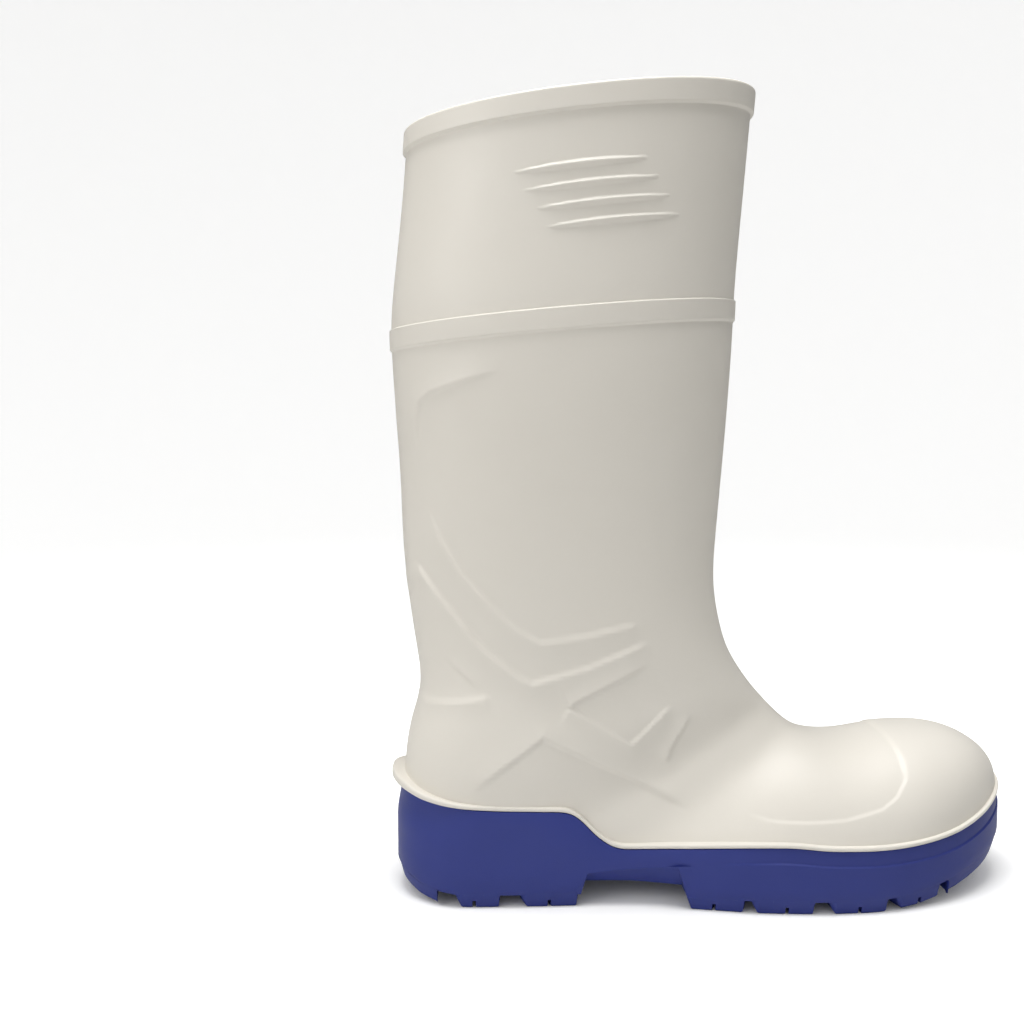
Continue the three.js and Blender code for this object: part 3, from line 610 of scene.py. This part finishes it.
# Rings of the wall from the rim down, each a height and an inset from the outline, and the
# underside between the last ring's two sides
def soleBodyPiece():
    rear, front = along(waist["rear"]), along(waist["front"])
    step = 2e-3
    xs = np.sort(np.r_[outlineStations(sole["stations"]), rear - step, rear + step, front - step,
                       front + step])
    ringX = np.r_[xs, xs[1:-1][::-1]]
    ringY = np.r_[soleSide(xs, "outer"), soleSide(xs[1:-1], "inner")[::-1]]
    plan = np.column_stack([ringX, ringY])

    def underside(x, y):
        inside = (x > rear) & (x < front)
        return np.where(inside, waistTop(x, y), treadHeight(x) + sole["lug"])

    low, rim, tread = underside(ringX, ringY), rimHeight(ringX), treadHeight(ringX)
    ledge = sole["ledgeDepth"] * ramp(ringX, along(sole["ledgeFrom"]), along(sole["ledgeTo"]))
    ledgeLow = ledgeLine(ringX)
    ledgeHigh = ledgeLow + sole["ledgeDepth"]
    foot = np.maximum(low, np.minimum(tread + sole["bevelHeight"], ledgeLow - 0.6))
    rows = [(rim, ledge + 6.0), (rim, ledge + 0.4), (rim - 0.15, ledge + 0.12), (rim - 0.5, ledge),
            (ledgeHigh + 0.25, ledge), (ledgeHigh, ledge), (ledgeLow, 0 * ledge),
            (ledgeLow - 0.25, 0 * ledge)]
    rows += [(ledgeLow - 0.25 + (foot - ledgeLow + 0.25) * s, 0 * ledge)
             for s in (0.12, 0.24, 0.36, 0.5, 0.7, 1)]
    rows += [(foot + (low - foot) * s, wallInset(foot + (low - foot) * s - tread)) for s in (0.5, 1)]
    rings = []
    for height, inset in rows:
        near = 1 - ramp(shareOf(ringX), 0, sole["hollowLong"])
        under = 1 - ramp(rim - height, sole["hollowTop"], sole["hollowHigh"])
        inset = inset + sole["hollow"] * near * under
        moved = movedOutline(plan, -inset)
        shift = np.where(height < low + 0.1, leanShift(ringX, height), 0)
        rings.append(np.column_stack([moved[:, 0] + shift, moved[:, 1], height]))
    wall = np.stack(rings)
    count = len(xs)
    outer = wall[-1, :count]
    inner = np.concatenate([wall[-1, :1], wall[-1, count:][::-1], wall[-1, count - 1:count]])
    s = np.linspace(0, 1, sole["underRows"])[:, None]
    x, y = xs + 0 * s, outer[:, 1] + (inner[:, 1] - outer[:, 1]) * s
    z = underside(x, y)
    x = x + leanShift(x, z)
    x[0], x[-1], z[0], z[-1] = outer[:, 0], inner[:, 0], outer[:, 2], inner[:, 2]
    under = np.stack([x, y, z], -1)
    faces = gridFaces(len(rings), len(plan))
    faces += gridFaces(sole["underRows"], count, closed=False, start=wall.shape[0] * wall.shape[1])
    vertices = np.concatenate([wall.reshape(-1, 3), under.reshape(-1, 3)])
    piece = meshObject("outsole_body", vertices, faces)
    cleanMesh(piece)
    shadeBySharpness(piece, 28)
    return piece


# Lugs of the tread. Columns: rear, front, edge side and inner side (shares of the length and
# of the ball width), skew of the inner end towards the toe, place of the sipe between the ends
lugRows = [
    [0.102, 0.160, -0.60, -0.153, 0.000, 0.35], [0.202, 0.2795, -0.60, -0.105, -0.018, 0.46],
    [0.453, 0.529, -0.60, -0.214, 0.025, 0.44], [0.550, 0.633, -0.60, -0.270, 0.012, 0.53],
    [0.666, 0.746, -0.60, -0.265, 0.000, 0.48], [0.770, 0.835, -0.60, -0.190, -0.020, 0.49],
    [0.101, 0.170, 0.60, 0.190, 0.008, 0.50], [0.194, 0.2795, 0.60, -0.035, 0.000, 0.42],
    [0.453, 0.508, 0.60, 0.135, 0.030, 0.50], [0.524, 0.595, 0.60, 0.275, 0.022, 0.50],
    [0.618, 0.690, 0.60, 0.215, 0.008, 0.50], [0.708, 0.788, 0.60, 0.290, 0.000, 0.55],
    [0.806, 0.880, 0.60, 0.240, -0.025, 0.50],
    [0.472, 0.505, -0.178, 0.030, 0.010, 0.50], [0.520, 0.584, -0.225, -0.010, 0.018, 0.45],
    [0.604, 0.668, -0.226, -0.035, 0.004, 0.50], [0.688, 0.746, -0.220, -0.020, -0.012, 0.45],
    [0.764, 0.803, -0.145, 0.035, -0.025, 0.50], [0.826, 0.850, -0.020, 0.120, -0.030, 0.50],
]


# One lug on an index grid: doubled stations in both directions make its upright sides, so the
# height over the tread is the larger of the two directions' heights, less where the sipe is cut.
# Its outer side follows the sole's outline and the slope of the wall
def lugGrid(rear, front, edge, inner, skew, sipe):
    name = "outer" if edge < inner else "inner"
    sign = -1 if edge < inner else 1
    onEdge = abs(edge) > 0.5
    length = (front - rear) * boot["length"]
    cut, root = sole["edge"], sole["lug"]
    slot = sipe * length
    half = sole["sipeWidth"] / 2
    ways = [(-sole["rearDraft"], root, 0), (0, cut, 0), (cut, 0, 0)]
    ways += [(v, 0, 0) for v in np.linspace(cut, slot - half - 0.3, 5)[1:]]
    ways += [(slot - half, 0, 0.3), (slot - half, 0, sole["sipeDepth"]),
             (slot + half, 0, sole["sipeDepth"]), (slot + half, 0, 0.3)]
    ways += [(v, 0, 0) for v in np.linspace(slot + half + 0.3, length - cut, 5)]
    ways += [(length, cut, 0), (length + sole["draft"], root, 0)]
    a, heightA, slotA = np.array(ways).T
    inner0 = across(inner)
    x0 = along(rear) + np.clip(a, -sole["rearDraft"], length + sole["draft"])
    outline = soleSide(np.clip(x0, along(0), along(1)), name) if onEdge else across(edge) + 0 * x0
    width, reach = np.abs(outline - inner0), 1 - sole["sipeReach"]
    # Across: share of the width, its offset in mm, height, and whether the sipe is cut there
    if onEdge:
        foot = sole["bevel"]
        lines = [(0, -sole["draft"], root, 0), (0, 0, cut, 0), (0, cut, 0, 0), (reach, 0, 0, 0),
                 (reach, 0, 0, 1), (0.75, 0, 0, 1)]
        lines += [(1, -foot - cut * 0.6, 0, 1), (1, -wallInset(cut * 0.6), cut * 0.6, 1)]
        lines += [(1, -wallInset(h), h, 1) for h in (2.5, sole["sipeDepth"], root)]
    else:
        lines = [(0, -sole["draft"], root, 0), (0, 0, cut, 0), (0, cut, 0, 0), (0.5, 0, 0, 0),
                 (0.5, 0, 0, 1), (0.8, 0, 0, 1), (1, -cut, 0, 1), (1, 0, cut, 1),
                 (1, sole["draft"] * 0.5, sole["sipeDepth"], 1), (1, sole["draft"], root, 1)]
    share, offset, heightB, cutB = np.array(lines).T
    y = inner0 + sign * (share[None] * width[:, None] + offset[None])
    lean = skew * boot["length"] * (1 - share)[None]
    x = x0[:, None] + lean + 0 * y
    over = np.maximum(np.maximum(heightA[:, None], heightB[None]),
                      np.minimum(slotA[:, None], cutB[None] * sole["lug"]))
    breast = sole["lean"] * over / sole["waistHeight"]
    if rear > waist["rear"]:
        x = np.maximum(x, along(waist["front"]) - breast)
    else:
        x = np.minimum(x, along(waist["rear"]) + breast)
    z = treadHeight(x) + over
    return np.stack([x, y, z], -1)


# Block between two plan curves of equal count: across it, doubled stations make the sides
def curveBlock(first, second, sides, lines=()):
    first, second = np.array(first), np.array(second)
    gap = np.linalg.norm(second - first, axis=1)
    unit = (second - first) / np.maximum(gap, 1e-6)[:, None]
    cut, root = sole["edge"], sole["lug"]
    rows = [(0, -sides[0], root), (0, 0, cut), (0, cut, 0)]
    for place, depth, width in lines:
        rows += [(place, -width / 2, 0), (place, -width / 5, depth), (place, width / 5, depth),
                 (place, width / 2, 0)]
    rows += [(1, -cut, 0), (1, 0, cut), (1, sides[1], root)]
    grid = []
    for share, offset, height in rows:
        offset = np.minimum(abs(offset), gap / 3) * np.sign(offset)
        plan = first + unit * (share * gap + offset)[:, None]
        grid.append(np.column_stack([plan, treadHeight(plan[:, 0]) + height]))
    return np.stack(grid)


# Bow in plan: a straight line along the boot, pushed sideways by a power of a half sine
def bowCurve(rear, front, side, bow, full, count=24):
    t = np.linspace(0, 1, count)
    return np.column_stack([along(rear + (front - rear) * t),
                            across(side + bow * np.sin(np.pi * t) ** full)])


# Part of the sole's outline from one side round an end to the other side, at a height's inset
def outlineArc(fromX, toX, end, inset):
    tip = along(0) if end == "heel" else along(1)
    t = np.sin(np.linspace(0, np.pi / 2, sole["arcStations"] // 2))
    one = fromX + (tip - fromX) * t
    two = toX + (tip - toX) * t
    xs = np.r_[one, two[:-1][::-1]]
    ys = np.r_[soleSide(one, "outer"), soleSide(two[:-1], "inner")[::-1]]
    plan = np.column_stack([xs, ys])
    tangent = np.gradient(plan, axis=0)
    tangent /= np.linalg.norm(tangent, axis=1, keepdims=True)
    normal = np.stack([tangent[:, 1], -tangent[:, 0]], 1) * (-1 if end == "heel" else 1)
    return plan - normal * inset


# Crescent at the toe or the heel: between the outline and its straight edge, with fine arcs cut
# in it at their distances from the outline. No point passes the straight edge
def crescentGrid(end, edgeLine, arcs):
    edgeLine = np.array(edgeLine)
    rows = []
    byWidth = edgeLine[np.argsort(edgeLine[:, 1])]
    place = np.r_[0, np.cumsum(np.linalg.norm(np.diff(edgeLine, axis=0), axis=1))]
    rim = outlineArc(edgeLine[0, 0], edgeLine[-1, 0], end, 0)
    t = np.linspace(0, place[-1], len(rim))
    edge = np.column_stack([np.interp(t, place, edgeLine[:, 0]), np.interp(t, place, edgeLine[:, 1])])
    cut, root = sole["edge"], sole["lug"]
    for height in (root, 3.6, cut):
        arc = outlineArc(edgeLine[0, 0], edgeLine[-1, 0], end, wallInset(height))
        rows.append(np.column_stack([arc, treadHeight(arc[:, 0]) + height]))
    start = outlineArc(edgeLine[0, 0], edgeLine[-1, 0], end, sole["bevel"] + cut)
    gap = np.linalg.norm(edge - start, axis=1)
    unit = (edge - start) / np.maximum(gap, 1e-6)[:, None]
    places = [(0, 0)]
    for middle, depth, width in arcs:
        places += [(middle - width / 2, 0), (middle - width / 5, depth), (middle + width / 5, depth),
                   (middle + width / 2, 0)]
    for mmIn, depth in places:
        plan = start + unit * np.minimum(mmIn, gap * 0.9)[:, None]
        deep = np.where(mmIn < gap * 0.8, depth, 0)
        rows.append(np.column_stack([plan, treadHeight(plan[:, 0]) + deep]))
    for offset, height in ((-cut, 0), (0, cut), (sole["draft"], root)):
        plan = edge + unit * np.maximum(offset, -gap / 3)[:, None]
        rows.append(np.column_stack([plan, treadHeight(plan[:, 0]) + height]))
    grid = np.stack(rows)
    limit = np.interp(grid[..., 1], byWidth[:, 1], byWidth[:, 0])
    keep = np.minimum if end == "heel" else np.maximum
    grid[..., 0] = keep(grid[..., 0], limit)
    return grid


# Round pad under the heel: rings of a profile turned about the pad's axis
heelPad = {"along": 0.136, "across": 0.05, "turns": 72, "profile": [
    (14.2, 6.5), (14.2, 0.6), (13.6, 0.0), (11.9, 0.0), (11.6, 0.5), (11.0, 0.5), (10.7, 0.0),
    (7.8, 0.0), (7.2, 0.6), (7.2, 3.6), (4.3, 3.6), (4.0, 2.6), (3.0, 1.6), (1.6, 1.15), (0.01, 1.0)]}


# A ring of points for each radius and height of the profile
def heelPadGrid():
    turn = np.linspace(0, 2 * np.pi, heelPad["turns"], endpoint=False)
    rings = [np.column_stack([
        along(heelPad["along"]) + radius * np.cos(turn),
        across(heelPad["across"]) + radius * np.sin(turn),
        0 * turn + height]) for radius, height in heelPad["profile"]]
    return np.stack(rings)


# Low bar on the arch of the waist, from one plan point to another
def barGrid(start, end, width, high):
    start, end = np.array(start, float), np.array(end, float)
    long = np.linalg.norm(end - start)
    unit = (end - start) / long
    side = np.array([-unit[1], unit[0]])
    lengths = np.array([0, 0, 0.4, long - 0.4, long, long])
    widths = np.array([-0.5, -0.5, -0.5 + 0.4 / width, 0.5 - 0.4 / width, 0.5, 0.5]) * width
    drop = np.array([-0.6, high - 0.4, high, high, high - 0.4, -0.6])
    plan = start + unit * lengths[:, None, None] + side * widths[None, :, None]
    height = np.minimum(drop[:, None], drop[None])
    z = waistTop(plan[..., 0], plan[..., 1]) - height
    return np.concatenate([plan, z[..., None]], -1)


waistRibs = {"count": 7, "first": 0.6, "width": 1.8, "high": 1.6, "inner": 0.12,
             "rearReach": -0.03, "frontReach": -0.14, "leg": 5.0}
# Leaf in the middle of the forefoot and the band round it. Bows: rear, front, side, bow and the
# sine's power. Grooves and arcs: place in the block or distance from the outline, depth, width
leaf = {"bow": (0.575, 0.754, 0.050, 0.145, 1), "grooves": [(0.45, 1.2, 1.8)],
        "bandInner": (0.552, 0.780, 0.050, 0.175, 1),
        "bandOuter": (0.520, 0.815, 0.060, 0.190, 0.5)}
# Crescents at the ends: where their straight edges leave the outer side, pass and meet the inner
toeCrescent = {"outer": 0.851, "inner": 0.915, "arcs": [(6.5, 0.9, 1.6), (11.0, 0.9, 1.6),
               (15.5, 0.9, 1.6)], "between": [(0.851, -0.27), (0.834, -0.11), (0.888, 0.12)]}
heelCrescent = {"outer": 0.066, "inner": 0.066, "arcs": [(5.0, 0.8, 1.4), (8.6, 0.8, 1.4)],
                "between": []}


# All the blocks of the tread joined in one mesh: lugs, leaf, band, crescents, ribs and pad
def treadPiece():
    grids = [lugGrid(*row) for row in lugRows]
    drafts = (sole["draft"], sole["draft"])
    bow = bowCurve(*leaf["bow"])
    chord = bow * [1, 0] + [0, across(leaf["bow"][2])]
    grids.append(curveBlock(chord, bow, drafts, leaf["grooves"]))
    grids.append(curveBlock(bowCurve(*leaf["bandInner"]), bowCurve(*leaf["bandOuter"]), drafts))
    for end, look in (("toe", toeCrescent), ("heel", heelCrescent)):
        outerX, innerX = along(look["outer"]), along(look["inner"])
        line = [(outerX, soleSide(outerX, "outer"))]
        line += [(along(x), across(y)) for x, y in look["between"]]
        line += [(innerX, soleSide(innerX, "inner"))]
        grids.append(crescentGrid(end, line, look["arcs"]))
    for k in range(waistRibs["count"]):
        share = (k + waistRibs["first"]) / waistRibs["count"]
        x = along(waist["rear"] + (waist["front"] - waist["rear"]) * share)
        reach = waistRibs["rearReach"] + (waistRibs["frontReach"] - waistRibs["rearReach"]) * share
        grids.append(barGrid((x, across(reach)), (x, across(waistRibs["inner"])),
                             waistRibs["width"], waistRibs["high"]))
        grids.append(barGrid((x - waistRibs["width"] / 2, across(waistRibs["inner"])),
                             (x + waistRibs["leg"], across(waistRibs["inner"])),
                             waistRibs["width"], waistRibs["high"]))
    vertices, faces, start = [], [], 0
    for grid in grids:
        faces += gridFaces(grid.shape[0], grid.shape[1], closed=False, start=start)
        vertices.append(grid.reshape(-1, 3))
        start += grid.shape[0] * grid.shape[1]
    pad = heelPadGrid()
    faces += gridFaces(*pad.shape[:2], closed=True, start=start)
    vertices.append(pad.reshape(-1, 3))
    piece = meshObject("outsole_tread", np.concatenate(vertices), faces)
    cleanMesh(piece)
    shadeBySharpness(piece, 32)
    return piece


print("stage: shapes")
shaft = shaftPiece()
leg, foot = legAndFootPieces()
liner = liningPiece()
bead = flangePiece()
soleBody = soleBodyPiece()
tread = treadPiece()
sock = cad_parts["insole"]
for piece in (shaft, leg, foot, liner, bead):
    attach(piece, "root")
    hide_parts("upper")
for piece in (soleBody, tread):
    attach(piece, "root")
    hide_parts("outsole")


# Node group that every moulding shares: fine grain and slow swells as a height, with a mask of
# cloudy wear for colour and roughness
def mouldGrainGroup():
    group = bpy.data.node_groups.new("mouldGrain", "ShaderNodeTree")
    interface = group.interface
    for name, value in (("Grain Scale", 900.0), ("Grain Height", 0.3), ("Swell Scale", 30.0),
                        ("Swell Height", 0.4)):
        interface.new_socket(name, in_out="INPUT", socket_type="NodeSocketFloat").default_value = value
    interface.new_socket("Height", in_out="OUTPUT", socket_type="NodeSocketFloat")
    interface.new_socket("Clouds", in_out="OUTPUT", socket_type="NodeSocketFloat")
    nodes, links = group.nodes, group.links
    source, out = nodes.new("NodeGroupInput"), nodes.new("NodeGroupOutput")
    place = nodes.new("ShaderNodeTexCoord")
    grain, swell, cloud = [nodes.new("ShaderNodeTexNoise") for _ in range(3)]
    grain.inputs["Detail"].default_value = 3.0
    swell.inputs["Detail"].default_value = 1.5
    cloud.inputs["Scale"].default_value = 14.0
    cloud.inputs["Detail"].default_value = 5.0
    grainPart, swellPart, total = [nodes.new("ShaderNodeMath") for _ in range(3)]
    grainPart.operation = swellPart.operation = "MULTIPLY"
    for node in (grain, swell, cloud):
        links.new(place.outputs["Object"], node.inputs["Vector"])
    links.new(source.outputs["Grain Scale"], grain.inputs["Scale"])
    links.new(source.outputs["Swell Scale"], swell.inputs["Scale"])
    links.new(grain.outputs["Fac"], grainPart.inputs[0])
    links.new(source.outputs["Grain Height"], grainPart.inputs[1])
    links.new(swell.outputs["Fac"], swellPart.inputs[0])
    links.new(source.outputs["Swell Height"], swellPart.inputs[1])
    links.new(grainPart.outputs[0], total.inputs[0])
    links.new(swellPart.outputs[0], total.inputs[1])
    links.new(total.outputs[0], out.inputs["Height"])
    links.new(cloud.outputs["Fac"], out.inputs["Clouds"])
    return group


mouldGrain = mouldGrainGroup()


# Moulded finish: two near colours and two roughnesses mixed by the clouds, with the grain as bump
def mouldedMaterial(name, look):
    material = bpy.data.materials.new(name)
    material.use_nodes = True
    nodes, links = material.node_tree.nodes, material.node_tree.links
    shader = nodes["Principled BSDF"]
    grain = nodes.new("ShaderNodeGroup")
    grain.node_tree = mouldGrain
    grain.inputs["Grain Scale"].default_value = look["grainScale"]
    grain.inputs["Grain Height"].default_value = look["grainHeight"]
    grain.inputs["Swell Scale"].default_value = look["swellScale"]
    grain.inputs["Swell Height"].default_value = look["swellHeight"]
    colour, gloss = nodes.new("ShaderNodeMix"), nodes.new("ShaderNodeMapRange")
    colour.data_type = "RGBA"
    colour.inputs["A"].default_value = (*look["colour"], 1)
    colour.inputs["B"].default_value = (*look["clouded"], 1)
    gloss.inputs["From Min"].default_value, gloss.inputs["From Max"].default_value = 0.35, 0.65
    gloss.inputs["To Min"].default_value, gloss.inputs["To Max"].default_value = look["roughness"]
    bump = nodes.new("ShaderNodeBump")
    bump.inputs["Strength"].default_value = look["bump"]
    bump.inputs["Distance"].default_value = look["bumpDistance"]
    links.new(grain.outputs["Clouds"], colour.inputs["Factor"])
    links.new(grain.outputs["Clouds"], gloss.inputs["Value"])
    links.new(grain.outputs["Height"], bump.inputs["Height"])
    links.new(colour.outputs["Result"], shader.inputs["Base Color"])
    links.new(gloss.outputs["Result"], shader.inputs["Roughness"])
    links.new(bump.outputs["Normal"], shader.inputs["Normal"])
    shader.inputs["Coat Weight"].default_value = look["coat"]
    shader.inputs["Coat Roughness"].default_value = look["coatRoughness"]
    shader.inputs["Specular IOR Level"].default_value = look["specular"]
    return material


whiteLook = {"colour": (0.80, 0.766, 0.70), "clouded": (0.775, 0.738, 0.668), "roughness": (0.40, 0.50),
             "grainScale": 1400.0, "grainHeight": 0.25, "swellScale": 22.0, "swellHeight": 0.5,
             "bump": 0.12, "bumpDistance": 0.0006, "coat": 0.06, "coatRoughness": 0.35,
             "specular": 0.45}
blueLook = {"colour": (0.026, 0.042, 0.25), "clouded": (0.022, 0.035, 0.215), "roughness": (0.42, 0.55),
            "grainScale": 1500.0, "grainHeight": 0.5, "swellScale": 30.0, "swellHeight": 0.3,
            "bump": 0.2, "bumpDistance": 0.0005, "coat": 0.05, "coatRoughness": 0.4,
            "specular": 0.4}
knitLook = {"colour": (0.62, 0.60, 0.55), "clouded": (0.55, 0.53, 0.48), "roughness": (0.85, 0.95),
            "grainScale": 700.0, "grainHeight": 1.0, "swellScale": 60.0, "swellHeight": 0.2,
            "bump": 0.6, "bumpDistance": 0.0008, "coat": 0.0, "coatRoughness": 0.5,
            "specular": 0.2}
white = mouldedMaterial("whiteMoulding", whiteLook)
blue = mouldedMaterial("blueMoulding", blueLook)
knit = mouldedMaterial("knitLining", knitLook)
for piece, material in ((shaft, white), (leg, white), (foot, white), (bead, white), (liner, knit),
                        (soleBody, blue), (tread, blue), (sock, knit)):
    piece.data.materials.clear()
    piece.data.materials.append(material)

print("stage: camera, floor and lights")
# The camera of the photograph: place, turn about the upright, pitch and roll, and lens
view = {"place": (-0.117945, -0.54522, 0.22805), "yaw": 2.34, "pitch": 4.41, "roll": -0.21,
        "lens": 38.707}


# Camera whose axes follow from yaw, pitch and roll: ahead, right of it, and up by their product
def aimedCamera():
    yaw, pitch, roll = [math.radians(view[name]) for name in ("yaw", "pitch", "roll")]
    ahead = np.array([math.sin(yaw) * math.cos(pitch), math.cos(yaw) * math.cos(pitch),
                      -math.sin(pitch)])
    right = np.cross(ahead, [0, 0, 1])
    right /= np.linalg.norm(right)
    up = np.cross(right, ahead)
    right, up = (math.cos(roll) * right + math.sin(roll) * up,
                 math.cos(roll) * up - math.sin(roll) * right)
    data = bpy.data.cameras.new("camera")
    data.lens = view["lens"]
    data.sensor_width = 36
    data.clip_start = 0.01
    camera = bpy.data.objects.new("camera", data)
    matrix = np.eye(4)
    matrix[:3, 0], matrix[:3, 1], matrix[:3, 2], matrix[:3, 3] = right, up, -ahead, view["place"]
    camera.matrix_world = Matrix(matrix.tolist())
    bpy.context.scene.collection.objects.link(camera)
    bpy.context.scene.camera = camera


# Pale floor that curves up all round into a wall: a profile turned about the upright. To the camera
# it glows as painted light, like a lit white sweep, and occlusion dims it near the boot as painted
# shadow
room = {"flat": 1.7, "bend": 1.3, "high": 3.4, "turns": 96, "colour": (0.72, 0.72, 0.715),
        "paintedGlow": 0.66, "shadow": 0.22}


def roomPiece():
    bend = np.radians(np.linspace(0, 90, 16))
    wallRadius = room["flat"] + room["bend"]
    radius = np.r_[0.001, 0.6, 1.2, room["flat"] + room["bend"] * np.sin(bend), wallRadius]
    height = np.r_[0, 0, 0, room["bend"] * (1 - np.cos(bend)), room["high"]]
    turn = np.linspace(0, 2 * np.pi, room["turns"], endpoint=False)
    points = np.stack([radius[:, None] * np.cos(turn), radius[:, None] * np.sin(turn),
                       height[:, None] + 0 * turn], -1) / mm
    faces = [face[::-1] for face in gridFaces(len(radius), len(turn))]
    piece = meshObject("floor", points, faces)
    piece.data.shade_smooth()
    material = bpy.data.materials.new("paleFloor")
    material.use_nodes = True
    shader = material.node_tree.nodes["Principled BSDF"]
    shader.inputs["Base Color"].default_value = (*room["colour"], 1)
    shader.inputs["Roughness"].default_value = 0.7
    shader.inputs["Specular IOR Level"].default_value = 0.2
    shader.inputs["Emission Color"].default_value = (1, 1, 1, 1)
    nodes, links = material.node_tree.nodes, material.node_tree.links
    # Painted shadow: ambient occlusion within the shadow distance dims the camera-only painted glow near
    # and under the boot
    path, hollow = nodes.new("ShaderNodeLightPath"), nodes.new("ShaderNodeAmbientOcclusion")
    hollow.inputs["Distance"].default_value = room["shadow"]
    hollow.samples = 1
    # Painted light: emission seen only by camera rays, times the occlusion's painted shadow
    paintedGlow, seen = [nodes.new("ShaderNodeMath") for _ in range(2)]
    paintedGlow.operation, seen.operation = "MULTIPLY", "MULTIPLY"
    paintedGlow.inputs[1].default_value = room["paintedGlow"]
    links.new(hollow.outputs["AO"], paintedGlow.inputs[0])
    links.new(paintedGlow.outputs[0], seen.inputs[0])
    links.new(path.outputs["Is Camera Ray"], seen.inputs[1])
    links.new(seen.outputs[0], shader.inputs["Emission Strength"])
    piece.data.materials.append(material)
    return piece


# Soft lights. Columns: name, place, target, size (all in metres), power in watts, colour
lights = [
    ("overhead", (-0.1, -0.15, 1.5), (0, 0, 0.1), (0.8, 0.7), 20.5, (1, 1, 1)),
    ("lowFill", (-0.5, -1.5, 0.25), (0.05, 0, 0.06), (0.7, 0.35), 0.7, (1, 1, 1)),
    ("leftFill", (-1.5, -1.1, 1.0), (-0.05, 0, 0.2), (0.9, 1.1), 10.4, (1.0, 0.985, 0.96)),
]
worldStrength = 0.3


def areaLight(name, place, target, size, energy, colour):
    data = bpy.data.lights.new(name, "AREA")
    data.shape = "RECTANGLE"
    data.size, data.size_y = size
    data.energy = energy
    data.color = colour
    light = bpy.data.objects.new(name, data)
    light.location = place
    light.rotation_mode = "QUATERNION"
    light.rotation_quaternion = (Vector(target) - Vector(place)).to_track_quat("-Z", "Y")
    bpy.context.scene.collection.objects.link(light)


aimedCamera()
roomPiece()
for light in lights:
    areaLight(*light)
world = bpy.data.worlds.new("studio")
world.use_nodes = True
world.node_tree.nodes["Background"].inputs["Color"].default_value = (1, 1, 1, 1)
world.node_tree.nodes["Background"].inputs["Strength"].default_value = worldStrength
bpy.context.scene.world = world
bpy.context.scene.view_settings.view_transform = "Standard"

print("stage: finish")
